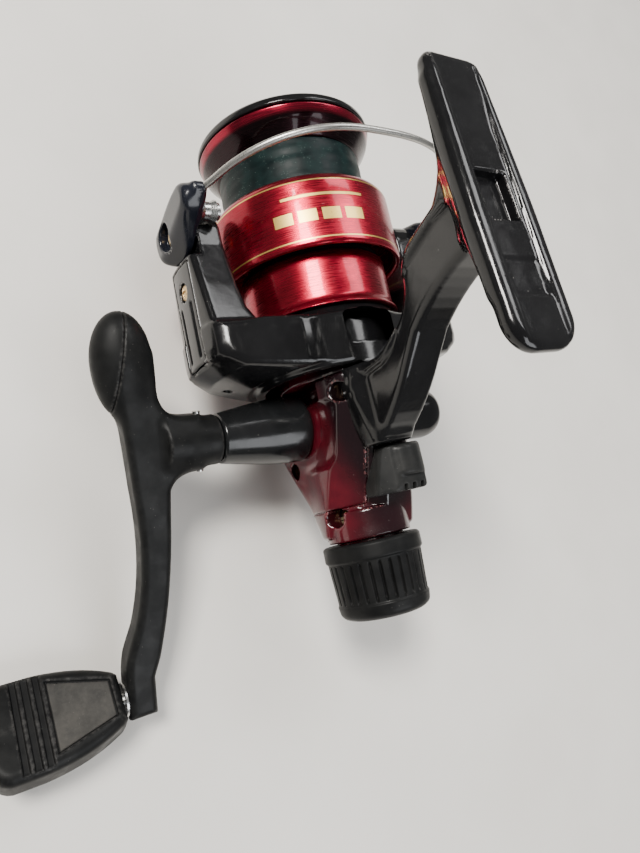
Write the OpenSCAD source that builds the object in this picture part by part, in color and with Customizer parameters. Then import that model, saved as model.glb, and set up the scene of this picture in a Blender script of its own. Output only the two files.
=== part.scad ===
// Small open-face spinning reel with a rear drag.
// X runs forward along the spool shaft, Y to the handle side and Z up to the foot.
// Shapes are drawn about the spool shaft, then place() moves the origin to the foot's seat.

/* [Foot and stem] */
// Length of the rod foot
foot_l = 54; // [48:0.5:58]
// Width of the rod foot
foot_w = 15.2; // [14:0.1:16]
// Thickness of the rod foot
foot_t = 3.4; // [3:0.1:4]
// Height of the foot's seat above the spool shaft
seat_h = 57.4; // [56:0.1:62]
// Forward pitch of the foot in degrees
foot_pitch = 4.5; // [0:0.5:5]
// Half-width of the stem
stem_half = 5.8; // [5:0.1:6.2]

/* [Spool] */
// Radius of the spool skirt
skirt_r = 21.2; // [20.8:0.1:21.6]
// Radius of the front lip
lip_r = 21.2; // [20:0.1:21.4]
// Radius of the wound line
line_r = 17; // [14:0.1:17]
// Stroke of the spool along the shaft
spool_stroke = 9; // [6:0.5:9]

/* [Rotor and bail] */
// Outer radius of the rotor arms
rotor_r = 32.5; // [32.2:0.1:32.8]
// Inner radius of the rotor arms
rotor_in = 24.2; // [23.6:0.1:24.4]
// Radius of the bail wire
wire_r = 0.7; // [0.6:0.05:0.9]
// Lean of the closed bail, in degrees
bail_lean = 14; // [12:1:16]

/* [Handle] */
// Distance from the handle axis to the knob axis
crank_l = 50.8; // [46:0.1:55]
// Angle of the handle below the rear, in degrees
crank_angle = 19; // [0:1:25]
// Tilt of the knob's flat face, in degrees
knob_tilt = 30; // [0:1:45]

/* [Gears] */
// Teeth on the drive gear
drive_teeth = 51; // [51:1:51]
// Teeth on the pinion
pinion_teeth = 10; // [10:1:10]
// Pitch radius of the pinion
pinion_pitch = 2.05; // [2.04:0.005:2.06]

/* [Hidden] */
// handle axis and shafts
hx = 0.9;
hz = -5;
shaft_r = 1.25;
handle_r = 2;
foot_x = 24;
run = 0.06;
// drive gear: the offset at which it meets the pinion gives the ratio
mesh_x = pinion_pitch * drive_teeth / pinion_teeth;
drive_r = 12.4;
tooth_w = 0.28;
pinion_tip = 2.55;
face_y = 2.4;
// crosswind gears
cw_module = 0.7;
cw_small = 10;
cw_big = 18;
cw_x = hx - cw_module * (cw_small + cw_big) / 2;
crank_r = spool_stroke / 2;
slot_x = cw_x + crank_r;
guide_z = 5.9;
// anti-reverse shaft
ar_y = -3;
ar_z = 10.2;
// bail pivot
bx = 44;
bail_a = 32;
bail_b = 33.4;
// body
split_y = 3.4;
half_w = 8.5;
cover_y = 8.6;
saddle_z = 11.5;
nose_x = 8.4;
cover_x = -19;
// cover screws: [x, z, length]
cover_screw_at = [[5.3, 12.9, 10], [-18.1, 5.2, 4.6], [-9.5, -14.2, 10]];
black = "#17181a";
satin = "#232425";
burgundy = "#5a0f1c";
red = "#a3142c";
gold = "#c9a25a";
steel = "#b9bcc0";
brass = "#b8924d";

$fn = 64;

// ---- helpers ----
module place() { translate([-foot_x, 0, -seat_h]) children(); }
module to_x(x, y = 0, z = 0) { translate([x, y, z]) rotate([0, 90, 0]) children(); }
module to_y(x, y, z) { translate([x, y, z]) rotate([-90, 0, 0]) children(); }
// a solid turned about X, from points [x, radius]
module turned(points, sides = 64) {
  rotate([0, 90, 0]) rotate_extrude($fn = sides) polygon([for (p = points) [p[1], p[0]]]);
}
// a solid turned about the Y line through (x, z), from points [y, radius]
module turned_y(x, z, points) {
  translate([x, 0, z]) rotate([-90, 0, 0])
    rotate_extrude() polygon([for (p = points) [p[1], p[0]]]);
}
module tube_x(x0, x1, r_out, r_in) {
  turned([[x0, r_in], [x1, r_in], [x1, r_out], [x0, r_out]]);
}
module tube_y(x, z, y0, y1, r_out, r_in) {
  turned_y(x, z, [[y0, r_in], [y1, r_in], [y1, r_out], [y0, r_out]]);
}
module rod_x(x0, x1, r, y = 0, z = 0) { to_x(x0, y, z) cylinder(r = r, h = x1 - x0); }
module rod_y(x, z, y0, y1, r) { to_y(x, y0, z) cylinder(r = r, h = y1 - y0); }
module flip_y(s) { mirror([0, s < 0 ? 1 : 0, 0]) children(); }
// children drawn in the XZ plane, made thick from y0 to y1
module slab_y(y0, y1) {
  translate([0, y1, 0]) rotate([90, 0, 0]) linear_extrude(y1 - y0) children();
}
module box(x0, x1, y0, y1, z0, z1) {
  translate([x0, y0, z0]) cube([x1 - x0, y1 - y0, z1 - z0]);
}
function polar(p, r, a) = [p[0] + r * cos(a), p[1] + r * sin(a)];
// outline around two circles
module link(p, r, q, s) {
  d = norm(q - p);
  a = atan2(q[1] - p[1], q[0] - p[0]);
  b = acos((r - s) / d);
  translate(p) circle(r);
  translate(q) circle(s);
  polygon([polar(p, r - 0.01, a + b), polar(q, s - 0.01, a + b),
    polar(q, s - 0.01, a - b), polar(p, r - 0.01, a - b)]);
}
function bezier(p, c, q, n = 10) =
  [for (i = [0:n]) let (t = i / n) (1 - t) * (1 - t) * p + 2 * t * (1 - t) * c + t * t * q];
function unit(v) = v / norm(v);
// a round rod along a row of points; up is never parallel to the row
module swept(points, r, up, sides = 8) {
  n = len(points);
  rings = [for (i = [0:n - 1])
    let (t = unit(points[min(i + 1, n - 1)] - points[max(i - 1, 0)]),
         s = unit(cross(up, t)), w = cross(t, s))
    for (k = [0:sides - 1]) points[i] + r * (cos(k * 360 / sides) * s + sin(k * 360 / sides) * w)];
  walls = [for (i = [0:n - 2]) for (k = [0:sides - 1])
    let (a = i * sides + k, b = i * sides + (k + 1) % sides) [a, b, b + sides, a + sides]];
  first = [for (k = [0:sides - 1]) sides - 1 - k];
  last = [for (k = [0:sides - 1]) (n - 1) * sides + k];
  polyhedron(rings, [for (f = concat([first], walls, [last])) [for (j = [len(f) - 1:-1:0]) f[j]]]);
}
module coil_x(x0, x1, r, wire, turns, steps = 16, sides = 8) {
  swept([for (i = [0:turns * steps]) let (a = i * 360 / steps)
    [x0 + (x1 - x0) * i / (turns * steps), r * cos(a), r * sin(a)]], wire, [1, 0, 0], sides);
}
// gear teeth about +Z, drawn flat
module gear_outline(teeth, m, phase) {
  pitch = m * teeth / 2;
  circle(pitch - 0.75);
  for (i = [0:teeth - 1]) rotate(phase + i * 360 / teeth)
    polygon([[pitch - 1, -0.55], [pitch + 0.5, -0.2], [pitch + 0.5, 0.2], [pitch - 1, 0.55]]);
}
module pan_screw(head_r, head_h, shank_r, shank_l) {
  difference() {
    union() {
      cylinder(r = head_r, h = head_h);
      translate([0, 0, -shank_l]) cylinder(r = shank_r, h = shank_l);
    }
    for (a = [0, 90]) rotate(a)
      translate([-head_r * 0.55, -head_r * 0.12, head_h * 0.5])
        cube([head_r * 1.1, head_r * 0.24, head_h]);
  }
}

// ---- fixed body ----
module body_outline(inset = 0) {
  link([0, hz], 15 - inset, [-16, 0], 10 - inset);
  link([5, 1], 13.8 - inset, [-16, 0], 10 - inset);
  link([0, hz], 15 - inset, [5, 1], 13.8 - inset);
}
module gear_room(r) { translate([hx, hz]) circle(r); }
module stem_outline() {
  polygon(concat(
    bezier([46, 52.6], [33, 52.8], [27.5, 46.5]),
    bezier([25.5, 41], [24.4, 36.5], [20, 34.6], 6),
    bezier([17.2, 34], [11, 31.5], [8.8, 22], 6),
    [[8.6, 14], [-7.6, 14]],
    bezier([-6.6, 18.5], [-2, 25.6], [4, 30.6], 6),
    bezier([9, 35], [13.6, 41], [15.6, 47.4], 6),
    bezier([16.4, 51], [15, 55], [7, 55.8], 8),
    [[24, 55.6], [46, 53.9]]));
}
module foot_outline() {
  rear_r = foot_w / 2 - 0.7;
  translate([rear_r, -foot_w / 2]) square([foot_l - rear_r - 2.2, foot_w]);
  translate([0, -0.7]) square([foot_l, 1.4]);
  translate([foot_l - 2.3, 2.2 - foot_w / 2]) square([2.3, foot_w - 4.4]);
  for (s = [-1, 1]) {
    translate([rear_r, s * 0.7]) circle(rear_r);
    translate([foot_l - 2.2, s * (foot_w / 2 - 2.2)]) circle(2.2);
  }
}
module stem_and_foot() {
  color(black) place() difference() {
    union() {
      translate([foot_x, 0, seat_h]) rotate([0, foot_pitch, 0])
        translate([-foot_l / 2, 0, -foot_t]) linear_extrude(foot_t) foot_outline();
      slab_y(-stem_half, stem_half) stem_outline();
      // saddle that the housing carries
      intersection() {
        box(-8, 8.6, -8.3, split_y - 0.1, saddle_z, 17.5);
        rod_x(-9, 9, 15.4, -1.5, 1.6);
      }
    }
    cover_screw_holes();
    // shallow panel in each flank of the stem
    for (s = [-1, 1]) flip_y(s) slab_y(stem_half - 0.9, stem_half + 1)
      polygon([[-3, 18.5], [3.5, 27.6], [11.2, 34.8], [16.2, 42.4], [18, 49], [24.5, 49],
        [22.6, 42], [21.6, 37.2], [15, 35.2], [7.6, 28.6], [6.8, 18.5]]);
    // channel and pocket in the seat of the foot
    translate([foot_x, 0, seat_h]) rotate([0, foot_pitch, 0]) {
      box(-18.5, 18.5, -4.3, 4.3, -1, 1);
      box(-4.6, 4.2, -3.8, 3.8, -2.6, 1);
    }
  }
}
module gear_housing() {
  color(burgundy) place() difference() {
    union() {
      intersection() {
        slab_y(-half_w, split_y) body_outline();
        union() {
          rod_x(-30, 9, 40);
          rod_x(8, 13.9, 15.6);
        }
      }
      rod_x(nose_x, 17.2, 13);
      rod_x(-26.2, cover_x, 10);
      rod_x(-34, -26, 7.4);
      rod_y(hx, hz, -10.6, -half_w + 0.2, 6.6);
    }
    // left half of the bulge belongs to the side cover
    box(cover_x, nose_x, split_y, 20, -25, 20);
    box(-8, 8.6, -9, split_y + 1, saddle_z, 20);
    // gear room, open to the cover, and the pocket for the drive gear in the nose
    difference() {
      intersection() {
        slab_y(-6.9, split_y + 1) body_outline(1.5);
        box(-17.2, 8.4, -10, 10, -25, 8.9);
      }
      rod_y(cover_screw_at[2][0], cover_screw_at[2][1], -8, split_y, 2.2);
    }
    slab_y(1.9, 6.1) gear_room(12.9);
    rod_x(8, 14.3, 3.1);
    rod_x(14.2, 18, 5.5);
    rod_x(-20, -17, 3.2);
    rod_x(-35, -19, 6.4);
    // groove for the knob's clip
    tube_x(-33, -32, 9, 6.95);
    // bores for the right bush, crosswind axle, anti-reverse shaft and guide rod
    rod_y(hx, hz, -12, -5, 4);
    rod_y(cw_x, hz, -8, -6, 1.2);
    rod_x(-9.1, 18, 1 + run, ar_y, ar_z);
    rod_x(-17.3, -9, 2.8, ar_y, ar_z);
    box(-17.3, -9, ar_y - 2.6, ar_y + 2.6, ar_z, 20);
    rod_x(-18.4, 10.4, 1, 0, guide_z);
    // pilot holes of the retainer screws
    for (a = [30, 150, 270]) rod_x(13.5, 18, 0.8, 7 * cos(a), 7 * sin(a));
    cover_screw_holes();
  }
}
module cover_screw_holes() {
  for (p = cover_screw_at) {
    rod_y(p[0], p[1], 7.2 - p[2], 9, 0.8);
    rod_y(p[0], p[1], 7.2, 9, 1.8);
  }
}
module side_cover() {
  color(burgundy) place() difference() {
    intersection() {
      union() {
        slab_y(split_y, cover_y) body_outline();
        rod_y(hx, hz, cover_y - 0.1, 8.9, 8.6);
      }
      box(cover_x, nose_x, 0, 10, -25, 20);
    }
    slab_y(split_y - 1, 6.1) gear_room(12.9);
    rod_y(hx, hz, 5, 10, 5);
    box(-5, 9, 2, stem_half + 0.1, 13.9, 20);
    cover_screw_holes();
  }
}
module cover_screws() {
  color(brass) place() for (p = cover_screw_at)
    translate([p[0], 7.2, p[1]]) rotate([-90, 0, 0]) pan_screw(1.7, 0.9, 0.8, p[2]);
}
module left_bush() { color(gold) place() tube_y(hx, hz, 6.2, 9, 5, handle_r + run); }
module right_bush() { color(gold) place() tube_y(hx, hz, -10.8, -6.6, 4, handle_r + run); }
module pinion_bearing() {
  color(steel) place() {
    tube_x(14.2, 17.2, 5.5, 4.6);
    tube_x(14.2, 17.2, 3.5, 2.6 + run);
    tube_x(14.6, 16.8, 4.6, 3.5);
  }
}
module retainer_places() {
  for (a = [30, 150, 270]) to_x(17.2, 7 * cos(a), 7 * sin(a)) children();
}
module bearing_retainer() {
  color(steel) place() difference() {
    tube_x(17.2, 18, 8.5, 4);
    retainer_places() cylinder(r = 0.8, h = 1);
    retainer_places() translate([0, 0, 0.4]) cylinder(r = 1.4, h = 1);
    rod_x(17, 19, 1.3, ar_y, ar_z);
  }
}
module retainer_screws() {
  color(steel) place() retainer_places() translate([0, 0, 0.4]) pan_screw(1.4, 0.4, 0.8, 4);
}
module slider_guide_rod() { color(steel) place() rod_x(-18.4, 10.4, 1, 0, guide_z); }
module crosswind_axle() {
  color(steel) place() {
    rod_y(cw_x, hz, -8, -3.3, 1.2);
    rod_y(cw_x, hz, -3.3, -3.05, 1.9);
  }
}
module drag_knob_clip() {
  color(steel) place() difference() {
    tube_x(-32.9, -32.1, 8.1, 6.95);
    box(-34, -31, -1.2, 1.2, 5, 10);
  }
}

// ---- handle and drive ----
module drive_gear() {
  color(brass) place() {
    difference() {
      union() {
        tube_y(hx, hz, 3.2, 5.4, drive_r, handle_r);
        tube_y(hx, hz, 5.3, 6, 4.2, handle_r);
        tube_y(hx, hz, 1, 3.3, 3, handle_r);
      }
      for (a = [0:60:300]) translate([hx, 3, hz]) rotate([-90, 0, 0]) rotate(a)
        translate([6.6, 0, -1]) cylinder(r = 1.9, h = 5);
    }
    // crown teeth: each lies along the pinion's teeth as it passes the mesh point
    for (i = [0:drive_teeth - 1]) translate([hx, 0, hz])
      rotate([0, (i + 0.5) * 360 / drive_teeth, 0])
        box(mesh_x - 1.4, mesh_x + 0.7, face_y, 3.3, -hz - tooth_w / 2, -hz + tooth_w / 2);
  }
}
module handle_shaft() {
  color(steel) place() difference() {
    rod_y(hx, hz, -11, 38, handle_r);
    rod_y(hx, hz, -12, -2, 1.2);
    crank_frame() rod_x(-3, 3, 0.8, 33.5);
  }
}
module crosswind_drive_gear() {
  color(brass) place() difference() {
    translate([hx, -3.3, hz]) rotate([90, 0, 0]) linear_extrude(1.9) gear_outline(cw_small, cw_module, 0);
    rod_y(hx, hz, -7, 0, handle_r);
  }
}
module handle_collar() {
  color(black) place() turned_y(hx, hz, [[9.2, handle_r], [29.4, handle_r], [29.4, 5], [29, 5.4],
    [17, 7.3], [10.2, 7.5], [9.2, 6.8]]);
}
// frame of the crank: X along the arm away from the knob, Y outboard
module crank_frame() { translate([hx, 0, hz]) rotate([0, -crank_angle, 0]) children(); }
module handle_arm() {
  end = -crank_l;
  color(satin) place() difference() {
    union() {
      crank_frame() rod_y(0, 0, 29.6, 43, 5.4);
      crank_frame() translate([0, 0, -3.5]) linear_extrude(7) polygon(concat(
        [[5.4, 34]], bezier([5.4, 37], [6, 42.3], [13, 42.6]), [[13.4, 49.6], [9, 49.6]],
        bezier([2, 48.9], [-25, 46.6], [-36, 50]), bezier([-40, 51.6], [-43, 52.7], [end + 4, 52.7], 4),
        [[end - 3.6, 52.7], [end - 3.6, 46.9], [end + 4.2, 46.9]],
        bezier([end + 8, 45.4], [-30, 41.6], [-13, 40.9]), bezier([-9, 40.6], [-5.4, 39], [-5.4, 34])));
    }
    crank_frame() rod_y(0, 0, 29, 38, handle_r);
    crank_frame() rod_x(-7, 7, 0.8, 33.5);
    crank_frame() rod_y(end, 0, 46, 54, 1.6);
    crank_frame() rod_x(11.4, 15, 1.6, 46);
  }
}
module handle_cross_pin() { color(steel) place() crank_frame() rod_x(-6.3, 6.3, 0.8, 33.5); }
module handle_counterweight() {
  color(satin) place() crank_frame() difference() {
    translate([0, 47.6, 0]) union() {
      turned([for (a = [180:-12:0]) [18.6 + (a > 90 ? 9.6 : 8.4) * cos(a), 5.5 * sin(a)]]);
      rod_x(11.4, 14, 1.6, -1.6);
    }
    translate([0, 0, -3.5]) linear_extrude(7) polygon([[4, 40], [13.05, 40], [13.4, 49.6], [4, 49.6]]);
    box(4, 13.4, 30, 41, -6, 6);
  }
}
module handle_screw_cap() {
  color(black) place() {
    turned_y(hx, hz, [[-30.5, 0], [-30.5, 3.6], [-29.1, 5.6], [-26.5, 6.4], [-13, 6.4],
      [-11.4, 5.8], [-11.4, 0]]);
    rod_y(hx, hz, -11.5, -2.2, 1.2);
  }
}
module knob_frame() {
  crank_frame() translate([-crank_l, 0, 0]) rotate([0, crank_angle + knob_tilt, 0]) children();
}
module knob_spindle() {
  color(steel) place() knob_frame() {
    rod_y(0, 0, 46.9, 73.4, 1.6);
    rod_y(0, 0, 73.4, 74.4, 2.8);
  }
}
module knob_washer() { color(steel) place() knob_frame() tube_y(0, 0, 52.8, 53.2, 3.4, 1.6); }
module knob_outline() {
  polygon(concat([[-4.8, 53.6], [4.8, 53.6]], bezier([5.8, 55], [9.8, 61], [10, 70]),
    bezier([10, 75], [9.4, 78.4], [4, 79], 6), bezier([-4, 79], [-9.4, 78.4], [-10, 75], 6),
    bezier([-10, 70], [-9.8, 61], [-5.8, 55])));
}
module handle_knob() {
  color(satin) place() knob_frame() difference() {
    translate([0, 0, -4]) linear_extrude(8) knob_outline();
    rod_y(0, 0, 53, 73.3, 1.6 + run);
    rod_y(0, 0, 73.2, 80, 3.1);
    // inset panel and grooves on both faces
    for (s = [-1, 1]) mirror([0, 0, s < 0 ? 1 : 0]) {
      translate([0, 0, 3.5]) linear_extrude(2) polygon([[-4, 55.6], [4, 55.6], [7.6, 68], [-7.6, 68]]);
      for (y = [69.2, 71.2, 73.2]) box(-11, 11, y, y + 0.8, 3.4, 6);
    }
  }
}
module knob_end_cap() { color(satin) place() knob_frame() rod_y(0, 0, 75.4, 79.2, 3.1); }

// ---- crosswind ----
module crosswind_gear() {
  color(brass) place() difference() {
    union() {
      translate([cw_x, -3.4, hz]) rotate([90, 0, 0])
        linear_extrude(1.6) gear_outline(cw_big, cw_module, 180 / cw_big);
      rod_y(cw_x, hz, -6.7, -4.9, 2.5);
      rod_y(slot_x, hz, -3.5, -3.05, 0.8);
    }
    rod_y(cw_x, hz, -8, -3, 1.2 + run);
  }
}
module crosswind_slider() {
  color(steel) place() difference() {
    union() {
      box(-6.4, -1.6, -2.9, -1.7, -10.8, 1.6);
      box(-6.4, -1.6, -2, 2, 1.2, 7.5);
      box(-6.4, -1.6, -2.9, 2, -2.4, 3);
    }
    rod_x(-8, 0, shaft_r + run);
    rod_x(-8, 0, 1 + run, 0, guide_z);
    box(slot_x - 1, slot_x + 1, -4, -1.7, -10.4, 0.4);
  }
}
module slider_clips() {
  color(steel) place() {
    tube_x(-7, -6.5, 2.2, shaft_r);
    tube_x(-1.5, -1.15, 2.2, shaft_r);
  }
}

// ---- shaft and spool ----
module main_shaft() { color(steel) place() rod_x(-27.5, 65, shaft_r); }
module spool() {
  color(red) place() turned([[44.2, shaft_r], [44.2, 4], [47.4, 5], [47.4, 19.9], [34.6, 19.9],
    [34, 20.2], [34, 20.9], [34.4, skirt_r], [48.8, skirt_r], [49.8, 20.6], [50.4, 19.4],
    [50.4, 11.5], [59.8, 11.5], [61, line_r], [66.2, lip_r - 0.2], [66.6, lip_r - 0.6],
    [66.6, 15.6], [65.2, 14.6], [63.6, 10], [63.6, 6.8], [61.2, 6.8], [61.2, shaft_r]]);
}
module spool_line() {
  color("#16302e") place() turned([[50.5, 11.6], [59.7, 11.6], [60.9, line_r - 0.1],
    [56, line_r], [50.5, line_r - 0.2]]);
}
module spool_lip_trim() {
  color(black) place() turned([[66.7, 15.7], [66.7, lip_r - 0.5], [67.6, lip_r - 0.2],
    [68.8, lip_r - 0.8], [69.5, lip_r - 2.4], [69.3, 16.2]]);
}
module spool_washer() { color(steel) place() tube_x(43.6, 44.1, 4, shaft_r); }
module spool_click_gear() {
  color(satin) place() difference() {
    tube_x(45.9, 47.3, 9.4, 5.4);
    for (a = [0:15:345]) rotate([a, 0, 0]) rod_x(45, 48, 0.7, 9.6);
  }
}
module spool_button() {
  color(black) place() {
    turned([[63.4, 2.4], [63.4, 6.3], [68.4, 6.3], [70, 5], [70.4, 3], [70.5, 0], [66.9, 0], [66.9, 2.4]]);
  }
}

// ---- rotor ----
module arm_plan() {
  polygon(concat([[10, -9.6], [21, -9.2], [40, -5.8]], [for (a = [-80:16:80]) [bx - 1 + 6 * cos(a), 5.8 * sin(a)]],
    [[40, 5.8], [21, 9.2], [10, 9.6]]));
}
module rotor() {
  color(black) place() difference() {
    union() {
      // base: a shallow dish, long across the arms
      intersection() {
        turned([[9.3, 0], [9.3, 17.6], [12, 28.6], [14.2, 31.6], [16.6, rotor_r], [21.4, rotor_r],
          [21.4, 24.6], [20.8, 20], [20.8, 17.6], [22.4, 16.4], [22.4, 0]]);
        rotate([90, 0, 90]) linear_extrude(40) union() {
          circle(18.4);
          polygon([for (s = [[1, 1], [-1, 1], [-1, -1], [1, -1]])
            each (s[0] * s[1] > 0 ? [[s[0] * 34, s[1] * 9.4], [s[0] * 15, s[1] * 15.2]]
              : [[s[0] * 15, s[1] * 15.2], [s[0] * 34, s[1] * 9.4]])]);
        }
      }
      tube_x(22, 36.2, 16.4, 14.4);
      // arms
      intersection() {
        turned([[15, 20], [20.8, 20], [22, 22.4], [25, 23.8], [30, rotor_in], [50, rotor_in], [50, 31],
          [40, rotor_r], [15, rotor_r]]);
        slab_y(-40, 40) arm_plan();
        union() {
          box(10, 37.6, -40, 40, -12, 12);
          box(37, 60, -29.4, 29.4, -12, 12);
        }
      }
    }
    turned([[9, 0], [9, 16.2], [14.2, 16.2], [14.2, 13.8], [20.2, 13.8], [20.2, 0]]);
    rod_x(20, 23, 2.4);
    // room for the covers and the bail works
    for (s = [-1, 1]) flip_y(s) {
      box(15, 37, 28.4, 40, -4.7, 4.7);
      rod_y(bx, 0, 24.3, 30, 1.5);
      rod_y(31.5, 0, 26, 30, 0.7);
    }
    rod_x(9, 16, 0.9, 24, -6);
  }
}
module rotor_drum_sleeve() {
  color(red) place() turned([[22.5, 16.5], [22.5, 17.6], [24, 17], [34.4, 17], [34.8, 16.6], [34.8, 16.5]]);
}
module pinion_gear() {
  color(brass) place() {
    turned([[8.9, shaft_r + run], [8.9, 1.8], [12.3, 1.8], [12.3, 2.6],
      [20.2, 2.6], [20.2, 2.4], [26, 2.4], [26, shaft_r + run]]);
    for (i = [0:pinion_teeth - 1]) rotate([i * 360 / pinion_teeth, 0, 0])
      box(10.6, 12.5, 1.5, pinion_tip, -0.15, 0.15);
  }
}
module rotor_nut() {
  color(brass) place() difference() {
    to_x(22.4) cylinder(r = 4.6, h = 2.8, $fn = 6);
    rod_x(22, 26, 2.4);
  }
}
module ratchet_wheel() {
  color(steel) place() to_x(18.5) difference() {
    union() {
      cylinder(r = 7, h = 1.5);
      for (i = [0:15]) rotate(i * 22.5)
        linear_extrude(1.5) polygon([[6.8, -1.3], [8.2, -0.9], [6.8, 1]]);
    }
    translate([0, 0, -1]) cylinder(r = 2.6, h = 4);
  }
}
module arm_cover(s) {
  flip_y(s) difference() {
    intersection() {
      union() {
        box(15.1, 36.9, 30.7, 34, -4.6, 4.6);
        box(29.9, 33.1, 28.5, 31, -1.6, 1.6);
      }
      turned([[14, 10], [14, rotor_r + 0.1], [37.5, rotor_r + 0.1], [37.5, 10]], 240);
    }
    for (z = [-3.1, 2.3]) box(17, 29, 32, 34, z, z + 0.8);
    rod_y(31.5, 0, 28, 36, 0.7);
    rod_y(31.5, 0, 31.6, 36, 1.8);
  }
}
module left_arm_cover() { color(black) place() arm_cover(1); }
module right_arm_cover() { color(black) place() arm_cover(-1); }
module arm_cover_screws() {
  color(brass) place() for (s = [-1, 1]) rotate([s > 0 ? 0 : 180, 0, 0])
    translate([31.5, 31.6, 0]) rotate([-90, 0, 0]) pan_screw(1.8, 0.9, 0.7, 5);
}
module bail_pivot_screws() {
  color(brass) place() for (s = [-1, 1]) rotate([s > 0 ? 0 : 180, 0, 0])
    translate([bx, 32.6, 0]) rotate([-90, 0, 0]) pan_screw(2.4, 0.7, 1.5, 8);
}
module balance_weight() { color(steel) place() box(16, 28, -30.5, -28.6, -4.2, 4.2); }
module bail_spring() {
  color(steel) place() translate([0, 29.5, 1.8]) coil_x(20.2, 27.8, 0.75, 0.2, 5, 12, 6);
}
module bail_trip_lever() {
  color(steel) place() {
    rod_y(17.6, 0, 28.6, 30.4, 1.4);
    box(17.6, 28.4, 29, 30.2, -3.6, -2.4);
    box(16.9, 18.3, 29, 30.2, -3.6, 0);
  }
}

// ---- bail ----
module bail_frame() { translate([bx, 0, 0]) rotate([0, bail_lean, 0]) children(); }
// the closed bail stands up from its pivots; its wire is fuller on the far side
function arch(t, n) = [0, bail_a * pow(abs(cos(t)), 2 / n) * (t < 90 ? 1 : -1), bail_b * pow(sin(t), 2 / n)];
module bail_arm() {
  color(black) place() bail_frame() difference() {
    union() {
      slab_y(29.7, 33.6) link([0, 0], 6, [0, 10.6], 3.6);
      slab_y(29.7, 34.3) link([0, 0], 4.9, [0, 10.6], 2.6);
    }
    rod_y(0, 0, 29, 35, 1.5 + run);
    rod_y(0, 0, 32.4, 35, 2.8);
    rod_y(0, 8.4, 29, 32, 0.8);
  }
}
module bail_wire() {
  color(steel) place() bail_frame() swept(concat(
    [[0, 31.2, 12.4], [0, 30.5, 13.8]],
    [for (t = [28:4:88]) arch(t, 2.2)], [for (t = [92:4:172]) arch(t, 3)], [[0, -31.95, 7.2]]),
    wire_r, [1, 0, 0]);
}
module bail_holder() {
  color(black) place() bail_frame() difference() {
    slab_y(-33.4, -29.7) hull() {
      circle(5.2);
      translate([0, 5.4]) circle(2.8);
    }
    rod_y(0, 0, -35, -29, 1.5 + run);
    rod_y(0, 0, -35, -32.4, 2.8);
  }
}
module roller_screw() {
  color(steel) place() bail_frame() {
    rod_y(0, 8.4, 25.6, 32, 0.8);
    rod_y(0, 8.4, 24.9, 25.6, 1.8);
  }
}
module line_roller() {
  color(steel) place() bail_frame() turned_y(0, 8.4, [[25.7, 0.8 + run], [25.7, 2.3], [27, 1.8],
    [28.2, 1.8], [29.5, 2.3], [29.5, 0.8 + run]]);
}

// ---- anti-reverse ----
module anti_reverse_lever() {
  color(satin) place() difference() {
    union() {
      rod_x(-16.9, -9.4, 2.4, ar_y, ar_z);
      box(-16.6, -9.8, -4.6, -1.4, 10.6, 14.6);
      intersection() {
        box(-18.4, -8.3, -8, 1.6, 13.8, 17.2);
        rod_x(-19, -8, 9, -2.6, 8.4);
      }
    }
    rod_x(-18, -8, 1, ar_y, ar_z);
    for (y = [-5.6, -3.2, -0.8]) box(-19, -17.2, y - 0.4, y + 0.4, 12, 18);
  }
}
module anti_reverse_shaft() { color(steel) place() rod_x(-16.9, 19.9, 1, ar_y, ar_z); }
module anti_reverse_pawl() {
  color(steel) place() difference() {
    translate([18.6, 0, 0]) rotate([90, 0, 90]) linear_extrude(1.2) hull() {
      translate([ar_y, ar_z]) circle(2.2, $fn = 32);
      translate([ar_y + 2.6, ar_z - 0.2]) circle(0.9, $fn = 32);
    }
    rod_x(18, 20, 1, ar_y, ar_z);
  }
}

// ---- rear drag ----
module drag_knob() {
  color(satin) place() difference() {
    turned([[-26.8, 7.7], [-26.8, 10.4], [-27.3, 10.93], [-30.2, 10.93], [-30.6, 10.3], [-39.4, 9.7],
      [-39.8, 10.1], [-42, 9.8], [-43, 8.6], [-43, 0], [-41, 0], [-41, 2.9], [-29, 2.9], [-29, 5.2],
      [-36, 5.2], [-36, 8.5], [-31.7, 8.5], [-31.7, 7.7]]);
    for (a = [0:12:348]) rotate([a, 0, 0]) box(-39, -31, 9.2, 12, -0.35, 0.35);
  }
}
module drag_nut() {
  color(brass) place() tube_x(-28.4, -27.4, 6, 2.9);
}
module drag_sleeve() {
  color(brass) place() {
    tube_x(-38, -17.6, 2.6, shaft_r + run);
    tube_x(-20.6, -19.4, 6, 2.5);
  }
}
module drag_washers() {
  color("#7a6a52") place() for (x = [-21.4, -22.2, -23]) tube_x(x, x + 0.6, 5.9, 2.6);
}
module drag_spring() { color(steel) place() coil_x(-26.9, -23.5, 4.6, 0.35, 3); }

stem_and_foot();
gear_housing();
side_cover();
cover_screws();
left_bush();
right_bush();
pinion_bearing();
bearing_retainer();
retainer_screws();
slider_guide_rod();
crosswind_axle();
drag_knob_clip();
drive_gear();
handle_shaft();
crosswind_drive_gear();
handle_collar();
handle_arm();
handle_cross_pin();
handle_counterweight();
handle_screw_cap();
knob_spindle();
knob_washer();
handle_knob();
knob_end_cap();
crosswind_gear();
crosswind_slider();
slider_clips();
main_shaft();
spool();
spool_line();
spool_lip_trim();
spool_washer();
spool_click_gear();
spool_button();
rotor();
rotor_drum_sleeve();
pinion_gear();
rotor_nut();
ratchet_wheel();
left_arm_cover();
right_arm_cover();
arm_cover_screws();
bail_pivot_screws();
balance_weight();
bail_spring();
bail_trip_lever();
bail_arm();
bail_wire();
bail_holder();
roller_screw();
line_roller();
anti_reverse_lever();
anti_reverse_shaft();
anti_reverse_pawl();
drag_knob();
drag_nut();
drag_sleeve();
drag_washers();
drag_spring();
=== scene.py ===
import math

import bpy
import numpy as np
from mathutils import Matrix, Vector


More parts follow.
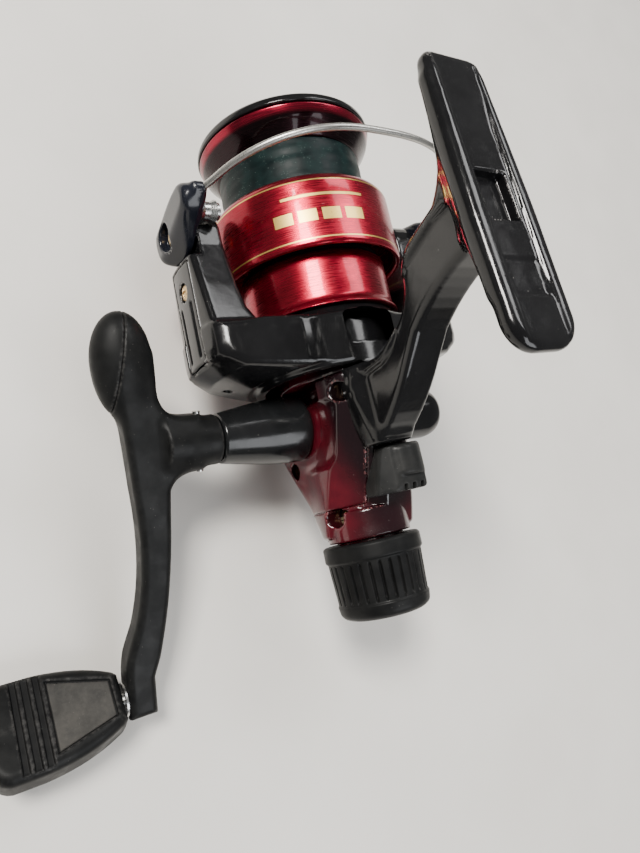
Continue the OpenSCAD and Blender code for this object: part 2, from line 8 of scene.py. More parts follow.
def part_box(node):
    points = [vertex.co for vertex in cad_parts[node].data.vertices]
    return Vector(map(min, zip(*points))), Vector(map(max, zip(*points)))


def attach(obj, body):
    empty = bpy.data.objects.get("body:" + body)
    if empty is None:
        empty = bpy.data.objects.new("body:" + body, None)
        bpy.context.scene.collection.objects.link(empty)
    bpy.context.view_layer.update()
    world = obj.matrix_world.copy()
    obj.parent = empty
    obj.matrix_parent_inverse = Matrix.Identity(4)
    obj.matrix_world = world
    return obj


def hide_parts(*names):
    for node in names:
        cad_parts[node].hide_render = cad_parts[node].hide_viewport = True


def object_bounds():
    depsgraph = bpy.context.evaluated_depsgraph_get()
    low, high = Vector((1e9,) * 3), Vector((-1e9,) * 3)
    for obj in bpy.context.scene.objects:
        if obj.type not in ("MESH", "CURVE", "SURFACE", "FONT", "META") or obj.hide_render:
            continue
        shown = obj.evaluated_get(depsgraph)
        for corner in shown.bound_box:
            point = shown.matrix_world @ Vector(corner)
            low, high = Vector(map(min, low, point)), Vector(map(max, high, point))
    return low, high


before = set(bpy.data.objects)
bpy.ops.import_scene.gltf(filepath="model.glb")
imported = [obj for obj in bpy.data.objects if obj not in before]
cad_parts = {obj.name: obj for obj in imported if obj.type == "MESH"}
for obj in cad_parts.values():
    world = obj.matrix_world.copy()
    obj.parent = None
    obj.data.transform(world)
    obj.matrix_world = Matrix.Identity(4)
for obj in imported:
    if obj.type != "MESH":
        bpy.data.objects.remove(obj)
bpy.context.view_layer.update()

MM = 0.001

# Shapes are drawn in millimetres about the spool shaft: X to the rod tip, Y to the handle, Z to the foot.
shaft_low, shaft_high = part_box("main_shaft")
SHAFT_REAR = -27.5
ORIGIN = np.array([shaft_low.x / MM - SHAFT_REAR, (shaft_low.y + shaft_high.y) / 2 / MM,
                   (shaft_low.z + shaft_high.z) / 2 / MM])
# rod foot: middle and pitch of its seat, half its length and width, its thickness
SEAT_X, SEAT_Z, PITCH = 24.0, 57.4, math.radians(4.5)
FOOT_HALF_L, FOOT_HALF_W, FOOT_T = 27, 7.6, 3.4
# body: handle axis, half width, wall, the side cover's joint, its screws (x, z), the lever's pin
HX, HZ = 0.9, -5.0
HALF_W, WALL = 8.5, 1.5
COVER_Y, COVER_REAR, COVER_FRONT = 3.4, -19, 8.4
SCREWS = [(4.6, 12.0), (-20.9, 2.0), (-8.4, -11.6)]
PIN_Y, PIN_Z = -3, 10.2
# rotor and bail: reach of the arms, the bail's pivot and lean, the arm screws, pivot bores, the wire
ROTOR_R = 32.5
BAIL_X, BAIL_LEAN = 44.0, math.radians(14)
ARM_SCREW_X, BAIL_BORE_R, WIRE_R = 31.5, 1.56, 0.7
# spool: radius of its bore, its core, the wound line and the skirt; sides of its lathes
SPOOL_BORE_R, CORE_R, LINE_R, SKIRT_R = 1.3, 11.5, 17, 21.2
SPOOL_SIDES = 192
# handle: crank angle and length, the knob's turn on it, bores for shaft and spindle, the knob's end
CRANK, CRANK_L, KNOB_TURN = math.radians(-19), 50.8, math.radians(49)
HANDLE_BORE_R, SPINDLE_BORE_R, KNOB_END = 2, 1.6, 79


# ---- distance fields ----
def smin(a, b, k):
    h = np.maximum(k - np.abs(a - b), 0) / k
    return np.minimum(a, b) - h * h * k / 4


def smax(a, b, k):
    return -smin(-a, -b, k)


def extrude(d, w, r=0.0):
    """A flat outline's distance d made thick, w being the distance past its caps, with edges of radius r."""
    a, b = d + r, w + r
    return np.sqrt(np.maximum(a, 0) ** 2 + np.maximum(b, 0) ** 2) + np.minimum(np.maximum(a, b), 0) - r


def between(v, low, high):
    return np.abs(v - (low + high) / 2) - (high - low) / 2


def box(x, y, z, sx, sy, sz, r=0.0):
    q = [between(v, s[0], s[1]) + r for v, s in ((x, sx), (y, sy), (z, sz))]
    far = sum(np.maximum(v, 0) ** 2 for v in q)
    return np.sqrt(far) + np.minimum(np.maximum(np.maximum(q[0], q[1]), q[2]), 0) - r


def disc(u, v, cu, cv, r):
    return np.hypot(u - cu, v - cv) - r


def rod(u, v, w, cu, cv, radius, low, high, r=0.0):
    return extrude(disc(u, v, cu, cv, radius), between(w, low, high), r)


def link(u, v, p, r, q, s):
    """The outline around two circles."""
    h = math.dist(p, q)
    ex, ey = (q[0] - p[0]) / h, (q[1] - p[1]) / h
    along = (u - p[0]) * ex + (v - p[1]) * ey
    across = np.abs((v - p[1]) * ex - (u - p[0]) * ey)
    b = (r - s) / h
    a = math.sqrt(1 - b * b)
    k = along * a - across * b
    return np.where(k < 0, np.hypot(across, along) - r,
                    np.where(k > a * h, np.hypot(across, along - h) - s, across * a + along * b - r))


def poly(u, v, points):
    shape = np.broadcast(u, v).shape
    best, inside = np.full(shape, 1e9), np.zeros(shape, bool)
    for (ax, ay), (bx, by) in zip(points, points[1:] + points[:1]):
        ex, ey = bx - ax, by - ay
        t = np.clip(((u - ax) * ex + (v - ay) * ey) / (ex * ex + ey * ey + 1e-12), 0, 1)
        best = np.minimum(best, (u - ax - ex * t) ** 2 + (v - ay - ey * t) ** 2)
        if abs(ey) > 1e-9:
            crossed = ((ay <= v) & (v < by)) | ((by <= v) & (v < ay))
            inside = inside ^ (crossed & (u < ax + ex * (v - ay) / ey))
    return np.where(inside, -1, 1) * np.sqrt(best)


def bezier(p, c, q, n=10):
    return [tuple((1 - t) ** 2 * p[i] + 2 * t * (1 - t) * c[i] + t * t * q[i] for i in (0, 1))
            for t in (j / n for j in range(n + 1))]


# ---- meshes ----
def turn(points, origin, angle):
    """Points drawn in a frame turned about Y, put back into the shaft's frame."""
    u, v, w = points[:, 0], points[:, 1], points[:, 2]
    c, s = math.cos(angle), math.sin(angle)
    return np.stack([origin[0] + u * c + w * s, origin[1] + v, origin[2] - u * s + w * c], 1)


def crank_frame(p):
    return turn(p, (HX, 0, HZ), CRANK)


def knob_frame(p):
    return crank_frame(turn(p, (-CRANK_L, 0, 0), KNOB_TURN))


def bail_frame(p):
    return turn(p, (BAIL_X, 0, 0), BAIL_LEAN)


def same(p):
    return p


def piece(name, points, faces, body, nodes, material, where=same, edge=None):
    mesh = bpy.data.meshes.new(name)
    mesh.from_pydata((where(np.asarray(points, float)) + ORIGIN) * MM, [], faces)
    mesh.polygons.foreach_set("use_smooth", np.ones(len(mesh.polygons), bool))
    if edge is not None:
        mesh.attributes.new("edge", "FLOAT", "POINT").data.foreach_set("value", edge.astype(np.float32))
    mesh.materials.append(material)
    mesh.validate()
    made = bpy.data.objects.new(name, mesh)
    bpy.context.scene.collection.objects.link(made)
    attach(made, body)
    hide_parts(*nodes)
    return made


CORNERS = [(i, j, k) for i in (0, 1) for j in (0, 1) for k in (0, 1)]
EDGES = [(a, b) for a in range(8) for b in range(a + 1, 8)
         if sum(abs(CORNERS[a][i] - CORNERS[b][i]) for i in range(3)) == 1]


def surface(name, field, low, high, step, body, nodes, material, where=same):
    """Meshes a distance field's zero level with surface nets and settles the points on it."""
    axes = [np.arange(low[i] - 1.5 * step, high[i] + 2 * step, step) for i in range(3)]
    x, y, z = np.ix_(*axes)
    d = np.ascontiguousarray(np.broadcast_to(field(x, y, z), [len(a) for a in axes])).astype(np.float32)
    inside = d < 0
    count = sum(inside[i:i + d.shape[0] - 1, j:j + d.shape[1] - 1, k:k + d.shape[2] - 1].astype(np.int8)
                for i, j, k in CORNERS)
    active = np.argwhere((count > 0) & (count < 8))
    index = -np.ones(count.shape, np.int32)
    index[tuple(active.T)] = np.arange(len(active))
    value = [d[tuple((active + c).T)] for c in CORNERS]
    total, crossings = np.zeros((len(active), 3)), np.zeros(len(active))
    for a, b in EDGES:
        cut = (value[a] < 0) != (value[b] < 0)
        t = np.where(cut, value[a] / np.where(cut, value[a] - value[b], 1), 0)
        ca, cb = np.array(CORNERS[a], float), np.array(CORNERS[b], float)
        total += np.where(cut[:, None], ca + t[:, None] * (cb - ca), 0)
        crossings += cut
    start = np.array([a[0] for a in axes])
    p = start + (active + total / crossings[:, None]) * step
    probe = step * 0.25
    for _ in range(3):
        here = field(p[:, 0], p[:, 1], p[:, 2])
        slope = np.stack([field(*(p + probe * np.eye(3)[i]).T) - field(*(p - probe * np.eye(3)[i]).T)
                          for i in range(3)], 1) / (2 * probe)
        move = slope * (here / np.maximum((slope ** 2).sum(1), 0.25))[:, None]
        p -= np.clip(move, -step * 0.4, step * 0.4)
    reach = 0.6
    bend = sum(field(*(p + s * reach * np.eye(3)[i]).T) for i in range(3) for s in (-1, 1))
    bend = (bend - 6 * field(*p.T)) / reach ** 2
    faces = []
    for axis in range(3):
        b, c = (axis + 1) % 3, (axis + 2) % 3
        first = np.take(inside, range(d.shape[axis] - 1), axis)
        second = np.take(inside, range(1, d.shape[axis]), axis)
        at = np.argwhere(first != second)
        at = at[(at[:, b] > 0) & (at[:, c] > 0)]
        at = at[(at[:, b] < d.shape[b] - 1) & (at[:, c] < d.shape[c] - 1)]
        out = first[tuple(at.T)]
        ring = []
        for db, dc in ((-1, -1), (0, -1), (0, 0), (-1, 0)):
            cell = at.copy()
            cell[:, b] += db
            cell[:, c] += dc
            ring.append(index[tuple(cell.T)])
        quad = np.stack(ring, 1)
        quad[~out] = quad[~out][:, ::-1]
        faces.append(quad)
    faces = np.concatenate(faces)
    return piece(name, p, faces.tolist(), body, nodes, material, where, np.clip(bend * 0.5, -1, 1))


def rounded(profile):
    """A closed profile of (along, radius, fillet) with its fillets drawn in."""
    out = []
    for i, (a, r, f) in enumerate(profile):
        if not f:
            out.append((a, r))
            continue
        here = np.array([a, r])
        back = np.array(profile[i - 1][:2]) - here
        ahead = np.array(profile[(i + 1) % len(profile)][:2]) - here
        lb, la = np.hypot(*back), np.hypot(*ahead)
        f = min(f, lb * 0.48, la * 0.48)
        p, q = here + back / lb * f, here + ahead / la * f
        out += bezier(tuple(p), (a, r), tuple(q), 6)
    return out


def lathe(name, profile, body, nodes, material, sides=144, axis="x", centre=(0, 0), shape=None):
    """A solid turned from its closed profile; shape(along, radius, angles) adds to the radius."""
    line = np.array(rounded(profile))
    fine = [line[0]]
    for p, q in zip(line, np.roll(line, -1, 0)):
        parts = max(1, int(np.hypot(*(q - p)) / (0.35 if shape else 1.2)))
        fine += [p + (q - p) * j / parts for j in range(1, parts + 1)]
    line = np.array(fine[:-1])
    on_axis = line[:, 1] < 1e-6
    angle = np.arange(sides) * 2 * math.pi / sides
    points, first = [], []
    for (a, r), single in zip(line, on_axis):
        first.append(len(points))
        if single:
            points.append((a, 0, 0))
        else:
            reach = r + (shape(a, r, angle) if shape else 0 * angle)
            points += [(a, m * math.cos(t), m * math.sin(t)) for m, t in zip(reach, angle)]
    faces, n = [], len(line)
    for i in range(n):
        j = (i + 1) % n
        for k in range(sides):
            m = (k + 1) % sides
            if on_axis[i] and on_axis[j]:
                break
            if on_axis[i]:
                faces.append((first[i], first[j] + m, first[j] + k))
            elif on_axis[j]:
                faces.append((first[i] + k, first[i] + m, first[j]))
            else:
                faces.append((first[i] + k, first[i] + m, first[j] + m, first[j] + k))
    points = np.array(points)
    if axis == "y":
        points = np.stack([centre[0] + points[:, 1], points[:, 0], centre[1] + points[:, 2]], 1)
        faces = [f[::-1] for f in faces]
    area = 0.0
    for (a, r), (b, s) in zip(line, np.roll(line, -1, 0)):
        area += a * s - b * r
    if area < 0:
        faces = [f[::-1] for f in faces]
    return piece(name, points, faces, body, nodes, material)


def tube(name, path, radius, body, nodes, material, where, sides=20):
    """A round wire along a path, with flat ends."""
    path = np.array(path, float)
    tangent = np.gradient(path, axis=0)
    tangent /= np.linalg.norm(tangent, axis=1)[:, None]
    side = np.array([1.0, 0, 0])
    points = []
    for p, t in zip(path, tangent):
        s = side - t * (side @ t)
        s /= np.linalg.norm(s)
        w = np.cross(t, s)
        points += [p + radius * (math.cos(a) * s + math.sin(a) * w)
                   for a in np.arange(sides) * 2 * math.pi / sides]
    n = len(path)
    faces = []
    for first in range(0, (n - 1) * sides, sides):
        for k in range(sides):
            here, beside = first + k, first + (k + 1) % sides
            faces.append((here, beside, beside + sides, here + sides))
    faces += [tuple(range(sides))[::-1], tuple((n - 1) * sides + k for k in range(sides))]
    return piece(name, points, faces, body, nodes, material, where)


# ---- materials ----
class Nodes:
    """A material's node tree with short calls for the nodes it uses."""

    def __init__(self, name, color, rough, metallic=0.0, coat=0.0, specular=0.5):
        self.material = bpy.data.materials.new(name)
        self.material.use_nodes = True
        self.tree = self.material.node_tree
        self.shader = self.tree.nodes["Principled BSDF"]
        s = self.shader.inputs
        s["Base Color"].default_value = (*color, 1)
        s["Roughness"].default_value = rough
        s["Metallic"].default_value = metallic
        s["Coat Weight"].default_value = coat
        s["Coat Roughness"].default_value = 0.06
        s["Specular IOR Level"].default_value = specular
        self.place = self.add("ShaderNodeTexCoord").outputs["Object"]
        self.height = None

    def add(self, kind, **settings):
        node = self.tree.nodes.new(kind)
        for k, v in settings.items():
            setattr(node, k, v)
        return node

    def link(self, a, b):
        self.tree.links.new(a, b)

    def stretch(self, scale, turn_by=(0, 0, 0)):
        node = self.add("ShaderNodeMapping")
        node.inputs["Scale"].default_value = scale
        node.inputs["Rotation"].default_value = turn_by
        self.link(self.place, node.inputs["Vector"])
        return node.outputs["Vector"]

    def noise(self, size, detail=4.0, rough=0.55, at=None, distortion=0.0):
        """Noise whose blobs are about size millimetres across, from 0 to 1."""
        node = self.add("ShaderNodeTexNoise")
        node.inputs["Scale"].default_value = 1 / (size * MM)
        node.inputs["Detail"].default_value = detail
        node.inputs["Roughness"].default_value = rough
        node.inputs["Distortion"].default_value = distortion
        self.link(at or self.place, node.inputs["Vector"])
        return node.outputs["Fac"]

    def specks(self, size):
        node = self.add("ShaderNodeTexVoronoi")
        node.inputs["Scale"].default_value = 1 / (size * MM)
        self.link(self.place, node.inputs["Vector"])
        return node.outputs["Distance"]

    def math(self, how, a, b=0.0):
        node = self.add("ShaderNodeMath", operation=how)
        for i, v in enumerate((a, b)):
            if isinstance(v, (int, float)):
                node.inputs[i].default_value = v
            else:
                self.link(v, node.inputs[i])
        return node.outputs[0]

    def ramp(self, value, low, high, to_low=0.0, to_high=1.0):
        node = self.add("ShaderNodeMapRange", interpolation_type="SMOOTHSTEP")
        sockets = ("Value", "From Min", "From Max", "To Min", "To Max")
        for name, v in zip(sockets, (value, low, high, to_low, to_high)):
            if isinstance(v, (int, float)):
                node.inputs[name].default_value = v
            else:
                self.link(v, node.inputs[name])
        return node.outputs[0]

    def mix(self, factor, a, b):
        node = self.add("ShaderNodeMix", data_type="RGBA")
        self.link(factor, node.inputs[0])
        for socket, v in ((node.inputs[6], a), (node.inputs[7], b)):
            if isinstance(v, tuple):
                socket.default_value = (*v, 1)
            else:
                self.link(v, socket)
        return node.outputs[2]

    def edge(self):
        """How sharply the surface turns outward, from surface()."""
        return self.add("ShaderNodeAttribute", attribute_name="edge").outputs["Fac"]

    def axes(self):
        node = self.add("ShaderNodeSeparateXYZ")
        self.link(self.place, node.inputs[0])
        return node.outputs

    def from_shaft(self, axes, i):
        """The place along axis i, counted from the spool shaft."""
        return self.math("SUBTRACT", axes[i], float(ORIGIN[i]) * MM)

    def color(self, value):
        self.link(value, self.shader.inputs["Base Color"])

    def rough(self, value):
        self.link(value, self.shader.inputs["Roughness"])

    def metal(self, value):
        self.link(value, self.shader.inputs["Metallic"])

    def bump(self, height, depth, strength=1.0):
        node = self.add("ShaderNodeBump")
        node.inputs["Strength"].default_value = strength
        node.inputs["Distance"].default_value = depth * MM
        self.link(height, node.inputs["Height"])
        if self.height:
            self.link(self.height, node.inputs["Normal"])
        self.height = node.outputs["Normal"]
        self.link(self.height, self.shader.inputs["Normal"])


def gloss_plastic(name, color, bright, rough=0.12, coat=0.0, worn=(0.5, 0.48, 0.46), dark_top_and_shaded_wells=False):
    """Moulded gloss plastic: uneven colour, smudges, hairline scratches, dust and rubbed edges.

    The flagged variant turns near black towards the top, and its cover screws' wells are darkened with
    painted shade."""
    m = Nodes(name, color, rough, coat=coat, specular=0.42)
    cloud = m.noise(9, 5)
    fine = m.noise(0.5, 3)
    smudge = m.ramp(m.noise(6, 6, 0.62, distortion=0.6), 0.45, 0.75)
    scratch = m.ramp(m.noise(0.35, 2, at=m.stretch((1, 14, 1), (0.4, 0.2, 0.9))), 0.66, 0.78)
    dust = m.ramp(m.specks(1.3), 0.075, 0.03)
    thin_dust = m.math("MULTIPLY", dust, m.ramp(m.noise(7, 2), 0.5, 0.62))
    rubbed = m.math("MULTIPLY", m.ramp(m.edge(), 0.45, 0.95), m.ramp(m.noise(0.45, 4, 0.7), 0.5, 0.62))
    rubbed = m.math("MULTIPLY", rubbed, m.ramp(m.noise(8, 2), 0.46, 0.6))
    body = m.mix(m.ramp(cloud, 0.35, 0.7), color, bright)
    if dark_top_and_shaded_wells:
        axes = m.axes()
        x, y, z = [m.from_shaft(axes, i) for i in range(3)]
        body = m.mix(m.ramp(z, 2.5 * MM, 10 * MM), body, (0.009, 0.003, 0.0045))
        # painted shade: the cover screws' wells are painted near black, as shade falls in those recesses
        for sx, sz in SCREWS:
            across = m.math("POWER", m.math("SUBTRACT", x, sx * MM), 2)
            along = m.math("POWER", m.math("SUBTRACT", z, sz * MM), 2)
            off = m.math("SQRT", m.math("ADD", across, along))
            well_shade = m.ramp(off, 1.95 * MM, 2.1 * MM, 1, 0)
            well_shade = m.math("MULTIPLY", well_shade, m.math("GREATER_THAN", y, 0))
            body = m.mix(well_shade, body, (0.004, 0.002, 0.002))
    body = m.mix(m.math("MULTIPLY", thin_dust, 0.5), body, (0.35, 0.33, 0.3))
    m.color(m.mix(m.math("MULTIPLY", rubbed, 0.7), body, worn))
    shine = m.math("ADD", m.math("MULTIPLY", smudge, 0.13), rough)
    shine = m.math("ADD", shine, m.math("MULTIPLY", scratch, 0.12))
    m.rough(m.math("ADD", shine, m.math("MULTIPLY", rubbed, 0.25)))
    m.bump(m.noise(3.5, 2), 0.05, 0.35)
    m.bump(fine, 0.006, 0.5)
    m.bump(scratch, 0.008, 0.5)
    return m.material


def satin_plastic(name, color, bright, rough=0.42, grain=0.22, worn=(0.13, 0.125, 0.12), wear=0.3):
    """Spark-eroded plastic: fine grain, greasy patches, pale rubbed edges."""
    m = Nodes(name, color, rough, specular=0.12)
    grease = m.ramp(m.noise(5, 5, 0.6, distortion=0.4), 0.4, 0.7)
    rub = m.ramp(m.edge(), 0.2, 0.9)
    rub = m.math("MULTIPLY", rub, m.ramp(m.noise(0.9, 5, 0.65), 0.36, 0.75))
    dust = m.math("MULTIPLY", m.ramp(m.specks(0.9), 0.1, 0.03), m.ramp(m.noise(5, 3), 0.48, 0.62))
    body = m.mix(m.ramp(m.noise(4, 6), 0.3, 0.7), color, bright)
    body = m.mix(m.math("MULTIPLY", dust, 0.35), body, (0.3, 0.28, 0.26))
    m.color(m.mix(m.math("MULTIPLY", rub, wear), body, worn))
    m.rough(m.math("SUBTRACT", rough + 0.06, m.math("MULTIPLY", grease, 0.16)))
    m.bump(m.noise(grain, 2, 0.6), 0.02, 0.55)
    m.bump(m.noise(2.5, 3), 0.04, 0.3)
    return m.material


def metal(name, color, dark, rough, size=0.3, along=(1, 1, 1), stain=0.5):
    """Worked metal: drawn or turned streaks, tarnish in blotches, small pits."""
    m = Nodes(name, color, rough, metallic=1.0)
    streak = m.noise(size, 3, 0.6, at=m.stretch(along))
    tarnish = m.math("MULTIPLY", m.ramp(m.noise(1.6, 6, 0.65), 0.42, 0.68), stain)
    pits = m.ramp(m.specks(0.6), 0.16, 0.05)
    body = m.mix(m.ramp(streak, 0.3, 0.7), color, tuple(c * 0.78 for c in color))
    m.color(m.mix(tarnish, body, dark))
    drawn = m.ramp(streak, 0.3, 0.7, rough - 0.06, rough + 0.1)
    m.rough(m.math("ADD", drawn, m.math("MULTIPLY", tarnish, 0.2)))
    m.bump(streak, 0.006, 0.6)
    m.bump(m.math("MULTIPLY", pits, -1.0), 0.006, 0.4)
    return m.material


def anodised(name, color, dark, rough, striped=None, deep=None):
    """Dyed aluminium with turning rings, clouds and scuffs.

    striped: gold fields, each (x from, x to, angle from, angle to), no angle meaning all round.
    deep: the x behind which the colour is near black."""
    m = Nodes(name, color, rough, metallic=0.9, coat=0.35)
    axes = m.axes()
    rings = m.noise(0.12, 2, 0.5, at=m.stretch((1, 0.03, 0.03)))
    cloud = m.noise(7, 4)
    body = m.mix(m.ramp(cloud, 0.3, 0.72), color, dark)
    scuff = m.math("MULTIPLY", m.ramp(m.noise(0.3, 4, 0.7, at=m.stretch((1, 0.2, 0.2))), 0.6, 0.72),
                   m.ramp(m.noise(4, 2), 0.5, 0.7))
    body = m.mix(m.math("MULTIPLY", scuff, 0.25), body, (0.75, 0.5, 0.5))
    turned = m.ramp(rings, 0.3, 0.7, rough - 0.05, rough + 0.07)
    shine = m.math("ADD", turned, m.math("MULTIPLY", scuff, 0.12))
    if deep:
        x = m.from_shaft(axes, 0)
        body = m.mix(m.ramp(x, deep * MM, (deep + 1) * MM), (0.012, 0.002, 0.004), body)
    if striped:
        x, y, z = [m.from_shaft(axes, i) for i in range(3)]
        angle = m.math("ARCTAN2", z, y)
        gold = None
        for low, high, start, end in striped:
            band = m.math("MULTIPLY", m.math("GREATER_THAN", x, low * MM), m.math("LESS_THAN", x, high * MM))
            if start is not None:
                band = m.math("MULTIPLY", band, m.math("GREATER_THAN", angle, math.radians(start)))
                band = m.math("MULTIPLY", band, m.math("LESS_THAN", angle, math.radians(end)))
            gold = band if gold is None else m.math("MAXIMUM", gold, band)
        gold = m.math("MULTIPLY", gold, m.ramp(m.noise(0.25, 4, 0.75), 0.3, 0.4))
        body = m.mix(gold, body, (0.78, 0.55, 0.16))
        shine = m.ramp(gold, 0, 1, shine, 0.34)
    m.color(body)
    m.rough(shine)
    m.bump(rings, 0.004, 0.5)
    return m.material


def wound_line():
    """Monofilament in close turns: dark green with pale glints."""
    m = Nodes("line", (0.004, 0.016, 0.016), 0.42, specular=0.14)
    cloud = m.noise(3, 5)
    glint = m.math("MULTIPLY", m.ramp(m.specks(0.45), 0.26, 0.12), m.ramp(m.noise(1.5, 4), 0.5, 0.66))
    body = m.mix(m.ramp(cloud, 0.35, 0.7), (0.0016, 0.0065, 0.007), (0.004, 0.015, 0.0145))
    m.color(m.mix(m.math("MULTIPLY", glint, 0.35), body, (0.3, 0.4, 0.36)))
    m.rough(m.ramp(cloud, 0.3, 0.7, 0.36, 0.5))
    m.bump(m.noise(0.25, 2, at=m.stretch((1, 0.1, 0.1))), 0.03, 0.5)
    return m.material


gloss_black = gloss_plastic("gloss_black", (0.005, 0.005, 0.0055), (0.0085, 0.0085, 0.0092))
pod_black = gloss_plastic("pod_black", (0.007, 0.008, 0.012), (0.012, 0.014, 0.022), rough=0.16)
collar_black = gloss_plastic("collar_black", (0.006, 0.0065, 0.007), (0.01, 0.0105, 0.011), rough=0.16)
burgundy = gloss_plastic("burgundy", (0.065, 0.0035, 0.009), (0.12, 0.006, 0.014), rough=0.16, coat=0.4,
                         worn=(0.4, 0.15, 0.15), dark_top_and_shaded_wells=True)
satin_black = satin_plastic("satin_black", (0.006, 0.0062, 0.0064), (0.0105, 0.0107, 0.0107))
dark_satin = satin_plastic("dark_satin", (0.013, 0.0135, 0.0135), (0.021, 0.021, 0.0205), rough=0.36,
                           wear=0.15)
panel_grey = satin_plastic("panel_grey", (0.038, 0.037, 0.035), (0.06, 0.057, 0.052), rough=0.4, grain=0.3,
                           worn=(0.16, 0.15, 0.135), wear=0.1)
# plain gold pinstripes, a bar and four blocks in place of the skirt's lettering
PINSTRIPES = [(48.1, 48.4, None, None), (35.3, 35.6, None, None)]
BAR = (44.6, 45.2, 48, 98)
BLOCKS = [(39.2, 41.8, start, end) for start, end in ((84, 96), (70, 81), (56, 67), (42, 53))]
skirt_red = anodised("skirt_red", (0.44, 0.011, 0.036), (0.27, 0.006, 0.02), 0.26,
                     striped=PINSTRIPES + [BAR] + BLOCKS)
sleeve_red = anodised("sleeve_red", (0.42, 0.01, 0.034), (0.25, 0.005, 0.018), 0.28)
flange_red = anodised("flange_red", (0.3, 0.008, 0.03), (0.17, 0.005, 0.018), 0.24, deep=64.4)
brushed = metal("brushed_steel", (0.6, 0.59, 0.56), (0.3, 0.28, 0.25), 0.3, 0.2, (0.15, 1, 1), 0.3)
bright = metal("bright_steel", (0.68, 0.68, 0.67), (0.35, 0.34, 0.32), 0.22, 0.2, (0.2, 1, 1), 0.35)
brass = metal("brass", (0.72, 0.52, 0.28), (0.24, 0.14, 0.07), 0.28, 0.3, (1, 1, 1), 0.75)
bronze = metal("bronze", (0.5, 0.33, 0.2), (0.2, 0.12, 0.08), 0.38, 0.3, (1, 1, 1), 0.5)
fibre = satin_plastic("fibre", (0.2, 0.15, 0.09), (0.3, 0.23, 0.15), rough=0.7, grain=0.15)
line_green = wound_line()


# ---- foot and stem ----
def foot_local(x, z):
    """Along the foot and up from its seat."""
    dx, dz = x - SEAT_X, z - SEAT_Z
    return dx * math.cos(PITCH) - dz * math.sin(PITCH), dx * math.sin(PITCH) + dz * math.cos(PITCH)


STEM = (bezier((46, 52.6), (33, 52.8), (27.5, 46.5)) + bezier((25.5, 41), (24.4, 36.5), (20, 34.6), 6)
        + bezier((17.2, 34), (11, 31.5), (8.8, 22), 6) + [(8.6, 13), (-7.6, 13)]
        + bezier((-6.6, 18.5), (-2, 25.6), (4, 30.6), 6) + bezier((9, 35), (13.6, 41), (15.6, 47.4), 6)
        + bezier((16.4, 51), (15, 55), (7, 55.8), 8) + [(24, 55.6), (46, 53.9)])
FLANK = ([(-12, 8), (6.2, 8), (6.2, 19)] + bezier((6.8, 24), (8.6, 30), (15.4, 32.6), 6)
         + bezier((20.6, 36.4), (21.6, 39), (24.4, 46), 6) + bezier((25, 50.4), (21.6, 52), (15, 50), 8)
         + [(-12, 50)])
# half the section of the rotor's back: x, radius
SWEPT = [(9.3, 0), (9.3, 17.6), (12, 28.6), (14.2, 31.6), (16.6, ROTOR_R), (21.4, ROTOR_R)]


def stem_field(x, y, z):
    u, w = foot_local(x, z)
    # foot, rounder at the rear and narrower at the front
    round_r = np.where(u < 0, 5.4, 2.4)
    qu = np.abs(u) - FOOT_HALF_L + round_r
    qy = np.abs(y) - FOOT_HALF_W + 1.3 * np.clip((u + 4) / 30, 0, 1) + round_r
    far = np.sqrt(np.maximum(qu, 0) ** 2 + np.maximum(qy, 0) ** 2)
    plan = far + np.minimum(np.maximum(qu, qy), 0) - round_r
    foot = extrude(plan, between(w, -FOOT_T, 0), 1.6)
    # stem, flaring to the foot
    width = 5.4 + 1.5 * np.clip((z - 46) / 9, 0, 1) ** 2
    stem = extrude(poly(x, z, STEM), np.abs(y) - width, 2.3)
    d = smin(foot, stem, 3.4)
    # recessed flank that leaves a raised rim along the front edge
    flank = np.maximum(poly(x, z, FLANK), 4.3 - np.abs(y))
    d = smax(d, -flank, 1.3)
    # saddle over the housing
    plan = poly(x, np.abs(y), [(8.6, 0), (8.6, 6.9), (2, 6.6), (-3.4, 5.4), (-8.0, 3.9), (-8.0, 0)])
    top = np.hypot(y, z - 1.6) - 15.3
    saddle = smax(smax(plan, top, 1.6), 11.4 - z, 0.5)
    d = smin(d, saddle, 3.6)
    d = smax(d, between(x, -8.0, 52.0), 0.3)
    # clear of everything the turning rotor sweeps
    d = smax(d, 0.4 - poly(x, np.hypot(y, z), SWEPT + [(50, 33.4), (50, 0)]), 0.2)
    # channel and pockets in the seat
    depth = 0.65 * np.clip((20 - np.abs(u)) / 8, 0, 1)
    channel = np.maximum(np.abs(y) - 4.2, -w - depth)
    pocket = box(u, y, w, (-4.6, 4.2), (-3.4, 3.4), (-2.6, 3), 0.15)
    rear_pocket = box(u, y, w, (-18.0, -11.6), (-3.8, 3.8), (-0.85, 3), 0.3)
    return smax(smax(smax(d, -channel, 1.3), -pocket, 0.25), -rear_pocket, 0.6)


surface("stem_body", stem_field, (-9, -9, 10.5), (52.2, 9, 60.5), 0.42, "root", ["stem_and_foot"],
        gloss_black)


# ---- housing and its side cover ----
def outline(x, z, inset=0.0):
    """The body seen from the side: three circles with straight sides between them."""
    return np.minimum(np.minimum(link(x, z, (0, HZ), 15 - inset, (-16, 0), 10 - inset),
                                 link(x, z, (5, 1), 13.8 - inset, (-16, 0), 10 - inset)),
                      link(x, z, (0, HZ), 15 - inset, (5, 1), 13.8 - inset))


def shoulder(x, y, z):
    """The flat face left of the top, which widens to the rear; the right side is only eased."""
    return 0.64 * np.maximum(y, -0.3 * y) + 0.77 * z - 0.3 * (x + 10) - 10.3


